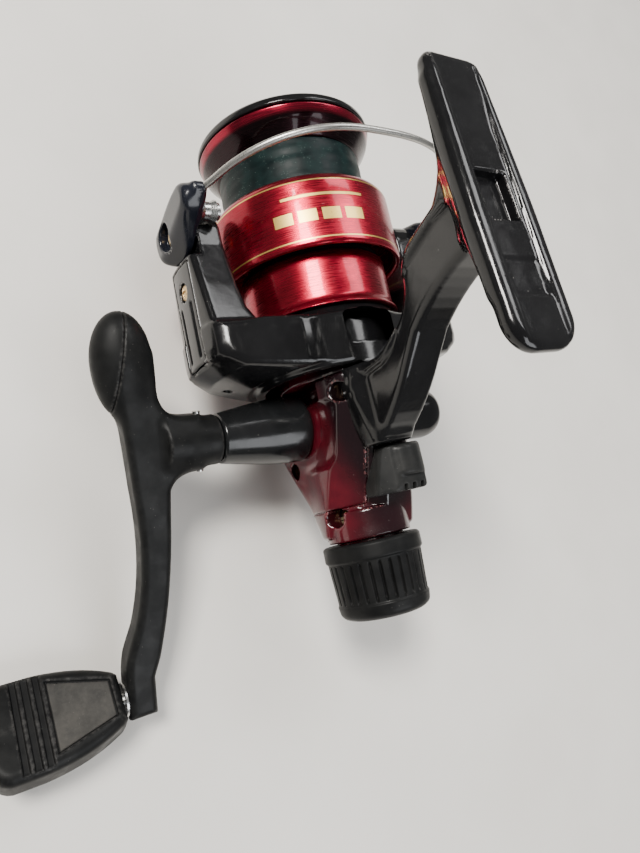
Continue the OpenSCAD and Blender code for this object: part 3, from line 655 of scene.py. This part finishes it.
def shell(x, y, z):
    """The outside of housing and cover together."""
    r = np.hypot(y, z)
    d = extrude(outline(x, z), np.abs(y) - HALF_W, 3.4)
    neck = extrude(r - 10.1, between(x, -24.9, -10), 0.7)
    d = smin(d, neck, 3.0)
    d = smax(d, shoulder(x, y, z), 0.7)
    under = 0.72 * np.abs(y) - 0.68 * z + 0.16 * (x + 10) - 19.0
    d = smax(d, under, 1.2)
    bulge = rod(x, z, y, HX, HZ, 13.2, 0, 8.65, 1.5)
    d = smin(d, bulge, 1.0)
    boss = rod(x, z, y, HX, HZ, 8.5, 0, 8.9, 1.2)
    d = smin(d, boss, 0.8)
    nose = extrude(r - 12.9, between(x, 4, 17.2), 0.6)
    d = smin(d, nose, 2.6)
    hub = rod(x, z, y, HX, HZ, 6.6, -10.6, 0, 0.7)
    d = smin(d, hub, 1.6)
    throat = extrude(r - 7.4, between(x, -34, -20), 0.3)
    collar = extrude(r - 9.2, between(x, -26.2, -20), 0.3)
    d = np.minimum(np.minimum(d, throat), collar)
    for sx, sz in SCREWS:
        d = smax(d, -rod(x, z, y, sx, sz, 2.0, 5.6, 14), 0.35)
    return d


def cover_zone(x, y, z):
    """The part of the shell that is the side cover."""
    return np.maximum(np.maximum(COVER_Y - y, COVER_REAR - x), x - COVER_FRONT) + 0 * z


def gear_rooms(x, y, z):
    """What is hollow inside, where the works turn."""
    r = np.hypot(y, z)
    limits = np.maximum(np.maximum(between(x, -17.7, COVER_FRONT), z - 8.9), shoulder(x, y, z) + 0.8)
    main = np.maximum(extrude(outline(x, z, WALL), between(y, -6.9, 4.4), 0.2), limits)
    drive_gear = rod(x, z, y, HX, HZ, 12.9, 1.9, 6.1)
    slider = np.maximum(box(x, y, z, (-15.8, -1), (-3.2, -1.4), (-11.1, 2)), outline(x, z, 0.3))
    bushes = np.minimum(rod(x, z, y, HX, HZ, 4, -12, -5), rod(x, z, y, HX, HZ, 5, 5, 12))
    pinion = np.minimum(extrude(r - 3.1, between(x, 7, 15)), extrude(r - 5.5, between(x, 14.2, 19)))
    shaft = extrude(r - 3.2, between(x, -20, -16))
    drag = np.minimum(extrude(r - 6.4, between(x, -36, -19)), extrude(r - 8.2, between(x, -33, -32)))
    pin = np.minimum(rod(y, z, x, PIN_Y, PIN_Z, 1.1, -17.3, 18), rod(y, z, x, PIN_Y, PIN_Z, 2.7, -17.3, -9))
    lever_slot = box(x, y, z, (-17.3, -9), (-5.6, -1.1), (PIN_Z, 22))
    rooms = [drive_gear, slider, bushes, pinion, shaft, drag, pin, lever_slot]
    for room in rooms:
        main = np.minimum(main, room)
    return main


def housing_field(x, y, z):
    d = smax(shell(x, y, z), -(cover_zone(x, y, z) - 0.05), 0.25)
    saddle = box(x, y, z, (-8.0, 8.3), (-9, 9), (12.3, 20))
    return np.maximum(smax(d, -gear_rooms(x, y, z), 0.2), -saddle)


def cover_field(x, y, z):
    d = smax(shell(x, y, z), cover_zone(x, y, z) + 0.05, 0.25)
    return smax(d, -gear_rooms(x, y, z), 0.2)


surface("housing_shell", housing_field, (-34.5, -11, -20.5), (17.5, 13.5, 15.5), 0.42, "root",
        ["gear_housing"], burgundy)
surface("cover_shell", cover_field, (-19.5, 3, -20.5), (8.9, 10, 15.5), 0.38, "root",
        ["side_cover"], burgundy)


def pan_head(u, v, w, head_r, head_h, shank_r, shank_l):
    """A cross-recessed pan head standing on w = 0, its shank below."""
    dome = np.maximum(np.sqrt(u * u + v * v + (w + head_r * 1.4) ** 2) - head_r * 1.4 - head_h, -w)
    head = smax(dome, np.hypot(u, v) - head_r, 0.25)
    d = np.minimum(head, extrude(np.hypot(u, v) - shank_r, between(w, -shank_l, 0.05)))
    slot = np.minimum(np.maximum(np.abs(u) - head_r * 0.13, np.abs(v) - head_r * 0.62),
                      np.maximum(np.abs(v) - head_r * 0.13, np.abs(u) - head_r * 0.62))
    depth = head_h * 0.35 + np.hypot(u, v) * 0.25
    return smax(d, -np.maximum(slot, depth - w), 0.06)


def screws(name, places, head_r, head_h, shank_r, body, node, step=0.11):
    """Brass screws along Y; places are (x, y under the head, z, side the head faces, shank length)."""
    for i, (x0, y0, z0, side, length) in enumerate(places):
        def field(x, y, z, at=(x0, y0, z0, side, length)):
            return pan_head(x - at[0], z - at[2], (y - at[1]) * at[3], head_r, head_h, shank_r, at[4])
        r = head_r + 0.2
        ys = sorted((y0 - side * length, y0 + side * (head_h + 0.3)))
        surface(f"{name}_{i + 1}", field, (x0 - r, ys[0], z0 - r), (x0 + r, ys[1], z0 + r), step, body,
                [node], brass)


screws("cover_screw", [(x, 5.65, z, 1, length) for (x, z), length in zip(SCREWS, (1.4, 0.4, 1.4))],
       1.6, 0.8, 0.8, "root", "cover_screws")


# ---- anti-reverse lever ----
def lever_field(x, y, z):
    base = box(x, y, z, (-18.2, -8.4), (-7.0, 4.6), (8.2, 15.6), 0.7)
    base = smax(base, 0.97 * (y - 2.4) + 0.22 * (x + 8.4), 0.6)
    # clear of the body, more so on the side that dips when the lever is thrown
    base = smax(base, 0.3 + 0.25 * np.maximum(PIN_Y - y, 0) - shell(x, y, z), 0.2)
    base = smax(base, 0.62 * y + 0.785 * z - 12.5, 0.6)
    base = smax(base, -0.45 * (x + 18.2) + 0.9 * (z - 15.0), 0.4)
    # thumb pad
    pad = extrude(np.hypot(y + 3.6, z - 11.8) - 5.3, between(x, -15.3, -8.6), 1.1)
    pad = smax(smax(pad, 13 - z, 0.4), np.abs(y + 3.6) - 4.1, 1.2)
    # stalk and hub on the pin
    stalk = box(x, y, z, (-16.6, -9.8), (-4.6, -1.4), (PIN_Z, 14.0), 0.2)
    hub = rod(y, z, x, PIN_Y, PIN_Z, 2.1, -16.9, -9.4)
    d = smin(smin(base, pad, 0.5), np.minimum(stalk, hub), 0.5)
    d = smax(d, -rod(y, z, x, PIN_Y, PIN_Z, 1.0, -18, -8), 0.1)
    # three notches in the rear edge
    for at in (-5.6, -3.4, -1.2):
        d = smax(d, -box(x, y, z, (-19, -16.9), (at - 0.4, at + 0.4), (13.2, 18), 0.15), 0.2)
    return smax(d, np.hypot(y + 1.4, z - 8.4) - 9.0, 0.4)


surface("switch_lever", lever_field, (-18.6, -8.2, 7.6), (-8, 4.6, 17.6), 0.24, "anti_reverse",
        ["anti_reverse_lever"], dark_satin)


# ---- rotor ----
def rotor_plan(y, z):
    wings = [(34, 9.4), (34, -9.4), (15, -15.2), (-15, -15.2),
             (-34, -9.4), (-34, 9.4), (-15, 15.2), (15, 15.2)]
    return smin(disc(y, z, 0, 0, 18.4), poly(y, z, wings), 2.0)


ARM = [(10, -9.6), (21, -9.2), (40, -5.8)] + [
    (BAIL_X - 1 + 6 * math.cos(math.radians(a)), 5.8 * math.sin(math.radians(a))) for a in range(-80, 81, 16)
] + [(40, 5.8), (21, 9.2), (10, 9.6)]


def rotor_field(x, y, z):
    r = np.hypot(y, z)
    dish = poly(x, r, SWEPT + [(21.4, 24.6), (20.8, 20), (20.8, 17.6), (22.4, 16.4), (22.4, 0)])
    dish = smax(dish, rotor_plan(y, z) + 0 * x, 1.6)
    arm = poly(x, r, [(15, 20), (20.8, 20), (22, 22.4), (25, 23.8), (30, 24.2), (50, 24.2), (50, 31),
                      (40, ROTOR_R), (15, ROTOR_R)])
    arm = smax(arm, poly(x, z, ARM) + 0 * y, 1.3)
    arm = smax(arm, np.minimum(x - 37.6, np.abs(y) - 29.4) + 0 * z, 0.3)
    d = smin(dish, arm, 1.2)
    d = np.minimum(d, extrude(r - 16.4, between(x, 20, 36.2), 0.3))
    d = smax(d, -(extrude(r - 14.4, between(x, 22.4, 37))), 0.3)
    # ring round the neck
    d = smax(d, -disc(x, r, 9.6, 19.3, 0.75), 0.5)
    hollow = np.minimum(extrude(r - 16.2, between(x, 5, 14.2)), extrude(r - 13.8, between(x, 5, 20.2)))
    d = smax(smax(d, -hollow, 0.4), -extrude(r - 2.4, between(x, 20, 23)), 0.1)
    # seats of the arm covers, bail pivots and a hole for the balance weight
    side = np.abs(y)
    recess = box(x, side, z, (15, 37), (28.4, 40), (-4.7, 4.7), 0.3)
    d = smax(d, -recess, 0.3)
    d = smax(d, -rod(x, z, side, BAIL_X, 0, 1.5, 24, 30), 0.1)
    return smax(d, -rod(y, z, x, 24, -6, 0.9, 8, 16), 0.2)


surface("rotor_body", rotor_field, (8.5, -33, -16.5), (50, 33, 16.5), 0.42, "rotor", ["rotor"],
        gloss_black)


def arm_cover_field(x, y, z):
    side = np.abs(y)
    d = box(x, side, z, (15.12, 36.88), (30.7, 36), (-4.58, 4.58), 0.3)
    d = smax(d, np.hypot(y, z) - ROTOR_R, 0.4)
    d = np.minimum(d, box(x, side, z, (29.9, 33.1), (28.5, 31), (-1.6, 1.6)))
    for low, high in ((-3.2, -2.2), (2.2, 3.2)):
        d = smax(d, -box(x, side, z, (16.6, 28.6), (31.9, 36), (low, high), 0.4), 0.4)
    d = smax(d, -rod(x, z, side, ARM_SCREW_X, 0, 0.75, 28, 36), 0.1)
    return smax(d, -rod(x, z, side, ARM_SCREW_X, 0, 2.0, 31.6, 36), 0.35)


surface("left_cover_plate", lambda x, y, z: np.maximum(arm_cover_field(x, y, z), 20 - y), (15, 28.3, -5),
        (37, 33, 5), 0.24, "rotor", ["left_arm_cover"], gloss_black)
surface("right_cover_plate", lambda x, y, z: np.maximum(arm_cover_field(x, y, z), 20 + y), (15, -33, -5),
        (37, -28.3, 5), 0.24, "rotor", ["right_arm_cover"], gloss_black)
screws("arm_screw", [(ARM_SCREW_X, side * 31.6, 0, side, 3.0) for side in (1, -1)],
       1.75, 0.85, 0.7, "rotor", "arm_cover_screws")
screws("pivot_screw", [(BAIL_X, 32.5, 0, 1, 7.9), (BAIL_X, -32.4, 0, -1, 7.8)],
       2.4, 0.6, 1.5, "rotor", "bail_pivot_screws", 0.15)
lathe("drum_sleeve", [(22.5, 16.5, 0), (22.5, 17.9, 0.3), (23.2, 17.6, 0.5), (24.2, 17.0, 0.6),
                      (34.4, 17, 0.3), (34.8, 16.5, 0.2)],
      "rotor", ["rotor_drum_sleeve"], sleeve_red)

# ---- spool ----
SKIRT = [(44.2, SPOOL_BORE_R, 0), (44.2, 4, 0.3), (47.4, 5, 0.4), (47.4, 19.9, 0.4), (34.6, 19.9, 0.3),
         (34, 20.2, 0.2), (34, 20.9, 0.3), (34.6, SKIRT_R, 0.5), (48.6, SKIRT_R, 0.8), (49.8, 20.4, 0.8),
         (50.4, 19.4, 0.5), (50.4, CORE_R, 0.3), (55, CORE_R, 0), (55, SPOOL_BORE_R, 0)]
FLANGE = [(55.05, SPOOL_BORE_R, 0), (55.05, CORE_R, 0), (59.8, CORE_R, 0.4), (61, LINE_R, 0.6),
          (64.6, 20.0, 0.9), (66.5, 20.7, 0.9), (66.8, 19.9, 0.3), (66.6, 19.3, 0.3), (66.6, 15.6, 0.5),
          (65.2, 14.6, 0.6), (63.6, 10, 0.8), (63.6, 6.8, 0.3), (61.2, 6.8, 0.3), (61.2, SPOOL_BORE_R, 0)]
LIP = [(66.7, 15.7, 0.1), (66.7, 19.2, 0.2), (66.9, 20.9, 0.4), (68.6, 20.7, 0.9), (69.4, 18.6, 0.9),
       (69.2, 16.2, 0.5)]
lathe("spool_skirt", SKIRT, "spool", ["spool"], skirt_red, SPOOL_SIDES)
lathe("spool_flange", FLANGE, "spool", ["spool"], flange_red, SPOOL_SIDES)
lathe("spool_lip", LIP, "spool", ["spool_lip_trim"], gloss_black, SPOOL_SIDES)
lathe("spool_cap", [(63.4, 2.4, 0), (63.4, 6.3, 0.2), (68.4, 6.3, 0.9), (70, 5, 0.9), (70.3, 2.4, 0.6),
                    (70.0, 0, 0), (66.9, 0, 0), (66.9, 2.4, 0)], "button", ["spool_button"],
      gloss_black, 96)
PITCH_OF_TURNS = 0.36


def wound(x, r, angle):
    """Close turns crossed by longer ones, with slow unevenness."""
    if r < 14:
        return 0 * angle
    one = np.abs(np.sin(math.pi * x / PITCH_OF_TURNS + angle / 2))
    two = np.abs(np.sin(math.pi * x / (PITCH_OF_TURNS * 6) - angle * 3 / 2))
    wave = 0.04 * np.sin(x * 1.7 + 2 * np.sin(angle * 2)) + 0.02 * np.sin(5 * angle + x * 2.3)
    return 0.06 * one + 0.04 * two - 0.1 + wave


lathe("wound_line", [(50.5, 11.6, 0), (59.7, 11.6, 0), (60.9, 16.9, 0.3), (56, LINE_R, 0), (50.5, 16.8, 0.3)],
      "spool", ["spool_line"], line_green, SPOOL_SIDES, shape=wound)


# ---- bail ----
def pod_field(u, y, w):
    """The near bail arm, ridged outside, with the roller's seat at its tip."""
    d = extrude(link(u, w, (0, 0), 6, (0, 10.6), 3.4), between(y, 29.7, 34.4), 1.5)
    ridge = 0.75 * np.abs(u - 0.5) + 0.66 * (y - 34.4) - 2.3
    d = smax(d, ridge, 0.9)
    tip = link(u, w, (0, 9), 2.6, (0, 14.2), 1.4)
    tip = extrude(tip, between(y, 29.2, 32.6), 1.2)
    d = smin(d, tip, 1.6)
    d = smax(d, -rod(u, w, y, 0, 0, BAIL_BORE_R, 29, 35), 0.1)
    d = smax(d, -rod(u, w, y, 0, 0, 2.9, 32.4, 36), 0.5)
    return smax(d, -rod(u, w, y, 0, 8.4, 0.8, 29, 32), 0.1)


def holder_field(u, y, w):
    """The far bail arm, which holds the wire's other end."""
    d = extrude(link(u, w, (0, 0), 5.2, (0, 5.6), 2.8), between(y, -33.0, -29.7), 1.3)
    d = smin(d, extrude(link(u, w, (0, 5), 2.2, (0, 8.4), 1.3), between(y, -33.0, -30.6), 1.0), 1.0)
    d = smax(d, -rod(u, w, y, 0, 0, BAIL_BORE_R, -35, -29), 0.1)
    return smax(d, -rod(u, w, y, 0, 0, 2.9, -36, -32.4), 0.5)


surface("bail_pod", pod_field, (-6.5, 29, -6.5), (6.5, 35, 16), 0.26, "bail", ["bail_arm"],
        pod_black, bail_frame)
surface("bail_far_arm", holder_field, (-6, -34, -6), (6, -29.3, 10.5), 0.26, "bail", ["bail_holder"],
        pod_black, bail_frame)


def arch(t, n):
    """A point at t degrees on the bail's rounded arch; n squares it off."""
    c, s = math.cos(math.radians(t)), math.sin(math.radians(t))
    return (0, 32 * abs(c) ** (2 / n) * (1 if c > 0 else -1), 33.4 * s ** (2 / n))


route = np.array([(0, 31.2, 12.4), (0, 30.7, 13.6)] + [arch(t, 2.2) for t in range(27, 90, 3)]
                 + [arch(t, 3) for t in range(90, 173, 3)] + [(0, -31.95, 7.2)])
gaps = np.concatenate([[0], np.cumsum(np.linalg.norm(np.diff(route, axis=0), axis=1))])
even = np.linspace(0, gaps[-1], 150)
route = np.stack([np.interp(even, gaps, route[:, i]) for i in range(3)], 1)
for _ in range(6):
    route[1:-1] = (route[:-2] + 2 * route[1:-1] + route[2:]) / 4
tube("bail_hoop", route, WIRE_R, "bail", ["bail_wire"], brushed, bail_frame)


# ---- handle ----
COLLAR = [(9.2, HANDLE_BORE_R, 0), (9.2, 6.8, 0.4), (10.2, 7.5, 0.6), (17, 7.3, 3), (29.0, 5.4, 0.3),
          (29.4, 5, 0.2), (29.4, HANDLE_BORE_R, 0)]
CAP = [(-30.5, 0, 0), (-30.5, 3.6, 0.8), (-29.1, 5.6, 1.2), (-26.5, 6.4, 1.5), (-13, 6.4, 0.6),
       (-11.4, 5.8, 0.3), (-11.4, 1.2, 0), (-2.2, 1.2, 0), (-2.2, 0, 0)]
lathe("crank_collar", COLLAR, "handle", ["handle_collar"], collar_black, 128, "y", (HX, HZ))
lathe("crank_cap", CAP, "handle", ["handle_screw_cap"], gloss_black, 128, "y", (HX, HZ))
END = -CRANK_L
ARM_SIDE = ([(5.2, 34)] + bezier((5.4, 37), (6, 42.0), (12.6, 42.2)) + [(18.6, 42.8), (22, 46.0), (20, 50.0)]
            + bezier((9, 49.6), (2, 48.9), (-8, 48.2), 6) + bezier((-10, 48), (-25, 46.6), (-36, 50))
            + bezier((-40, 51.6), (-43, 52.7), (END + 4, 52.7), 4) + [(END - 3.6, 52.7), (END - 3.6, 46.9),
            (END + 4.2, 46.9)] + bezier((END + 8, 45.4), (-30, 41.6), (-13, 40.9))
            + bezier((-9, 40.6), (-5.4, 39), (-5.2, 34)))


def blob(u, y, w):
    """The egg-shaped head at the short end, shared by the arm and its counterweight."""
    half = np.where(u > 17.4, 9.5, 11.4)
    return (np.sqrt(((u - 17.4) / half) ** 2 + ((y - 47.9) / 5.9) ** 2 + (w / 4.8) ** 2) - 1) * 4.8


def parting(u, y):
    """Where the arm ends and the counterweight begins in that head; the weight is on the outer side."""
    return y - 47.2 + (u - 26) * 0.19


def arm_field(u, y, w):
    """The hub and arm in the crank's frame, with the arm thinner in the middle than at its block."""
    width = 3.1 + 0.35 * np.clip((-u - 38) / 8, 0, 1)
    plate = extrude(poly(u, y, ARM_SIDE), np.abs(w) - width, 1.5)
    hub = rod(u, w, y, 0, 0, 5.3, 29.65, 41, 0.5)
    d = smin(smin(plate, hub, 2.6), smax(blob(u, y, w), parting(u, y) + 0.03, 0.25), 1.6)
    # bores for the shaft, the cross pin and the knob's spindle
    d = smax(d, -(rod(u, w, y, 0, 0, HANDLE_BORE_R, 28, 38)), 0.1)
    d = smax(d, -rod(y, w, u, 33.5, 0, 0.8, -9, 9), 0.1)
    return smax(d, -rod(u, w, y, END, 0, SPINDLE_BORE_R, 46, 54), 0.2)


surface("crank_arm", arm_field, (-56, 29.3, -6), (27, 53.3, 6), 0.36, "handle", ["handle_arm"],
        satin_black, crank_frame)


def egg_field(u, y, w):
    return smax(smax(blob(u, y, w), 0.03 - parting(u, y), 0.25), 0.04 - arm_field(u, y, w), 0.1)


surface("crank_weight", egg_field, (5.6, 45.9, -5.2), (27.3, 54.2, 5.2), 0.26, "handle",
        ["handle_counterweight"], satin_black, crank_frame)

KNOB = ([(-4.6, 53.6), (4.6, 53.6)] + bezier((5.4, 54.4), (9.0, 61), (9.4, 69.6))
        + bezier((9.4, 75), (8.8, 78.2), (4, KNOB_END), 6)
        + bezier((-4, KNOB_END), (-8.8, 78.2), (-9.4, 75), 6)
        + bezier((-9.4, 69.6), (-9.0, 61), (-5.4, 54.4)))
PANEL = [(-3.7, 55.4), (3.7, 55.4), (7.0, 67.0), (-7.0, 67.0)]
RIB_GROOVES = ((67.9, 69.1), (69.9, 71.2), (72.0, 73.2))


def knob_field(u, y, w):
    """The paddle: an inset and cross grooves on each face, bored for the spindle and the end cap."""
    side = np.abs(w)
    d = extrude(poly(u, y, KNOB), side - 4.0, 2.1)
    d = smax(d, -np.maximum(poly(u, y, PANEL), 3.35 - side), 0.35)
    for low, high in RIB_GROOVES:
        d = smax(d, -extrude(np.maximum(between(y, low, high), np.abs(u) - 8.6), 3.3 - side, 0.2), 0.3)
    d = smax(d, -rod(u, w, y, 0, 0, 1.66, 53, 73.3), 0.1)
    return smax(d, -rod(u, w, y, 0, 0, 3.15, 73.2, 80), 0.2)


def panel_field(u, y, w):
    """The two inset faces of the grip."""
    return extrude(poly(u, y, PANEL) + 0.3, between(np.abs(w), 3.0, 3.5), 0.12)


surface("grip", knob_field, (-9.7, 53.3, -4.3), (9.7, 79.3, 4.3), 0.26, "knob", ["handle_knob"],
        satin_black, knob_frame)
surface("grip_panels", panel_field, (-7.2, 55.2, -3.7), (7.2, 67.2, 3.7), 0.2, "knob", ["handle_knob"],
        panel_grey, knob_frame)

# ---- rear drag ----
RIBS = 30


def ribbed(x, r, angle):
    """Grooves along the middle of the knob's side, fading out at both ends."""
    if r < 9:
        return 0 * angle
    room = np.clip((x + 39.3) / 0.7, 0, 1) * np.clip((-30.9 - x) / 0.5, 0, 1)
    groove = np.clip((np.cos(angle * RIBS) - 0.62) / 0.3, 0, 1)
    return -0.85 * room * groove


DRAG_GRIP = [(-26.8, 7.7, 0.1), (-26.8, 10.5, 0.3), (-27.3, 10.93, 0.3), (-30.2, 10.93, 0.3),
             (-30.6, 10.45, 0.2), (-39.4, 9.95, 0.2), (-39.8, 10.2, 0.3), (-42, 9.9, 0.9), (-43, 8.3, 0.9),
             (-43, 0, 0), (-41, 0, 0), (-41, 2.9, 0), (-29, 2.9, 0), (-29, 5.2, 0), (-36, 5.2, 0),
             (-36, 8.5, 0), (-31.7, 8.5, 0), (-31.7, 7.7, 0)]
lathe("drag_grip", DRAG_GRIP, "drag_knob", ["drag_knob"], satin_black, 480, shape=ribbed)

# ---- works and small parts that keep their CAD shape ----
KEPT = {
    bronze: ["left_bush", "right_bush"],
    bright: ["pinion_bearing", "bearing_retainer", "retainer_screws", "slider_guide_rod", "crosswind_axle",
             "handle_shaft", "handle_cross_pin", "knob_spindle", "knob_washer", "main_shaft", "spool_washer",
             "line_roller", "roller_screw", "anti_reverse_shaft"],
    brushed: ["drag_knob_clip", "crosswind_slider", "slider_clips", "ratchet_wheel", "balance_weight",
              "bail_spring", "bail_trip_lever", "anti_reverse_pawl", "drag_spring"],
    brass: ["drive_gear", "crosswind_drive_gear", "crosswind_gear", "pinion_gear", "rotor_nut", "drag_nut",
            "drag_sleeve"],
    satin_black: ["knob_end_cap", "spool_click_gear"],
    fibre: ["drag_washers"],
}
for material, names in KEPT.items():
    for name in names:
        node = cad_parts[name]
        node.data.materials.clear()
        node.data.materials.append(material)

# ---- floor, light and camera ----
low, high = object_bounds()
floor_z = low.z - 0.0002


def flat(name, size, z):
    mesh = bpy.data.meshes.new(name)
    corners = [(-size, -size, z), (size, -size, z), (size, size, z), (-size, size, z)]
    mesh.from_pydata(corners, [], [(0, 1, 2, 3)])
    made = bpy.data.objects.new(name, mesh)
    bpy.context.scene.collection.objects.link(made)
    return made


table = Nodes("table", (0.8, 0.775, 0.735), 0.5)
table.color(table.mix(table.ramp(table.noise(40, 4), 0.3, 0.7), (0.8, 0.77, 0.72), (0.84, 0.81, 0.76)))
table.rough(table.ramp(table.noise(20, 3), 0.3, 0.7, 0.42, 0.52))
floor = flat("floor", 4.0, floor_z)
floor.data.materials.append(table.material)

world = bpy.data.worlds.new("studio")
world.use_nodes = True
world.node_tree.nodes["Background"].inputs["Color"].default_value = (0.86, 0.85, 0.83, 1)
world.node_tree.nodes["Background"].inputs["Strength"].default_value = 0.22
bpy.context.scene.world = world


def lamp(name, at, to, size, power, color=(1, 1, 1)):
    data = bpy.data.lights.new(name, "AREA")
    data.shape, data.size, data.size_y = "RECTANGLE", size[0], size[1]
    data.energy, data.color = power, color
    made = bpy.data.objects.new(name, data)
    made.location = at
    made.rotation_euler = (Vector(to) - Vector(at)).to_track_quat("-Z", "Y").to_euler()
    bpy.context.scene.collection.objects.link(made)


lamp("key", (0.25, 0.35, 0.55), (0, 0, -0.05), (0.2, 0.2), 8.2, (1, 0.97, 0.92))
lamp("fill", (-0.55, -0.15, 0.5), (0, 0, -0.05), (0.5, 0.5), 4.0, (0.95, 0.97, 1))
lamp("top", (0.36, -0.34, 0.58), (0, 0, -0.05), (0.5, 0.25), 3.0)

EYE = np.array([-20.5, 82.0, 120.0])
RIGHT = Vector((-0.214, -0.843, 0.494))
UP = Vector((0.967, -0.109, 0.232))
BACK = Vector((-0.142, 0.527, 0.838))
camera = bpy.data.objects.new("camera", bpy.data.cameras.new("camera"))
camera.data.lens = 27.09
camera.data.clip_start = 0.005
matrix = Matrix((RIGHT.normalized(), UP.normalized(), BACK.normalized())).transposed().to_4x4()
matrix.translation = Vector((EYE + ORIGIN) * MM)
camera.matrix_world = matrix
bpy.context.scene.collection.objects.link(camera)
bpy.context.scene.camera = camera
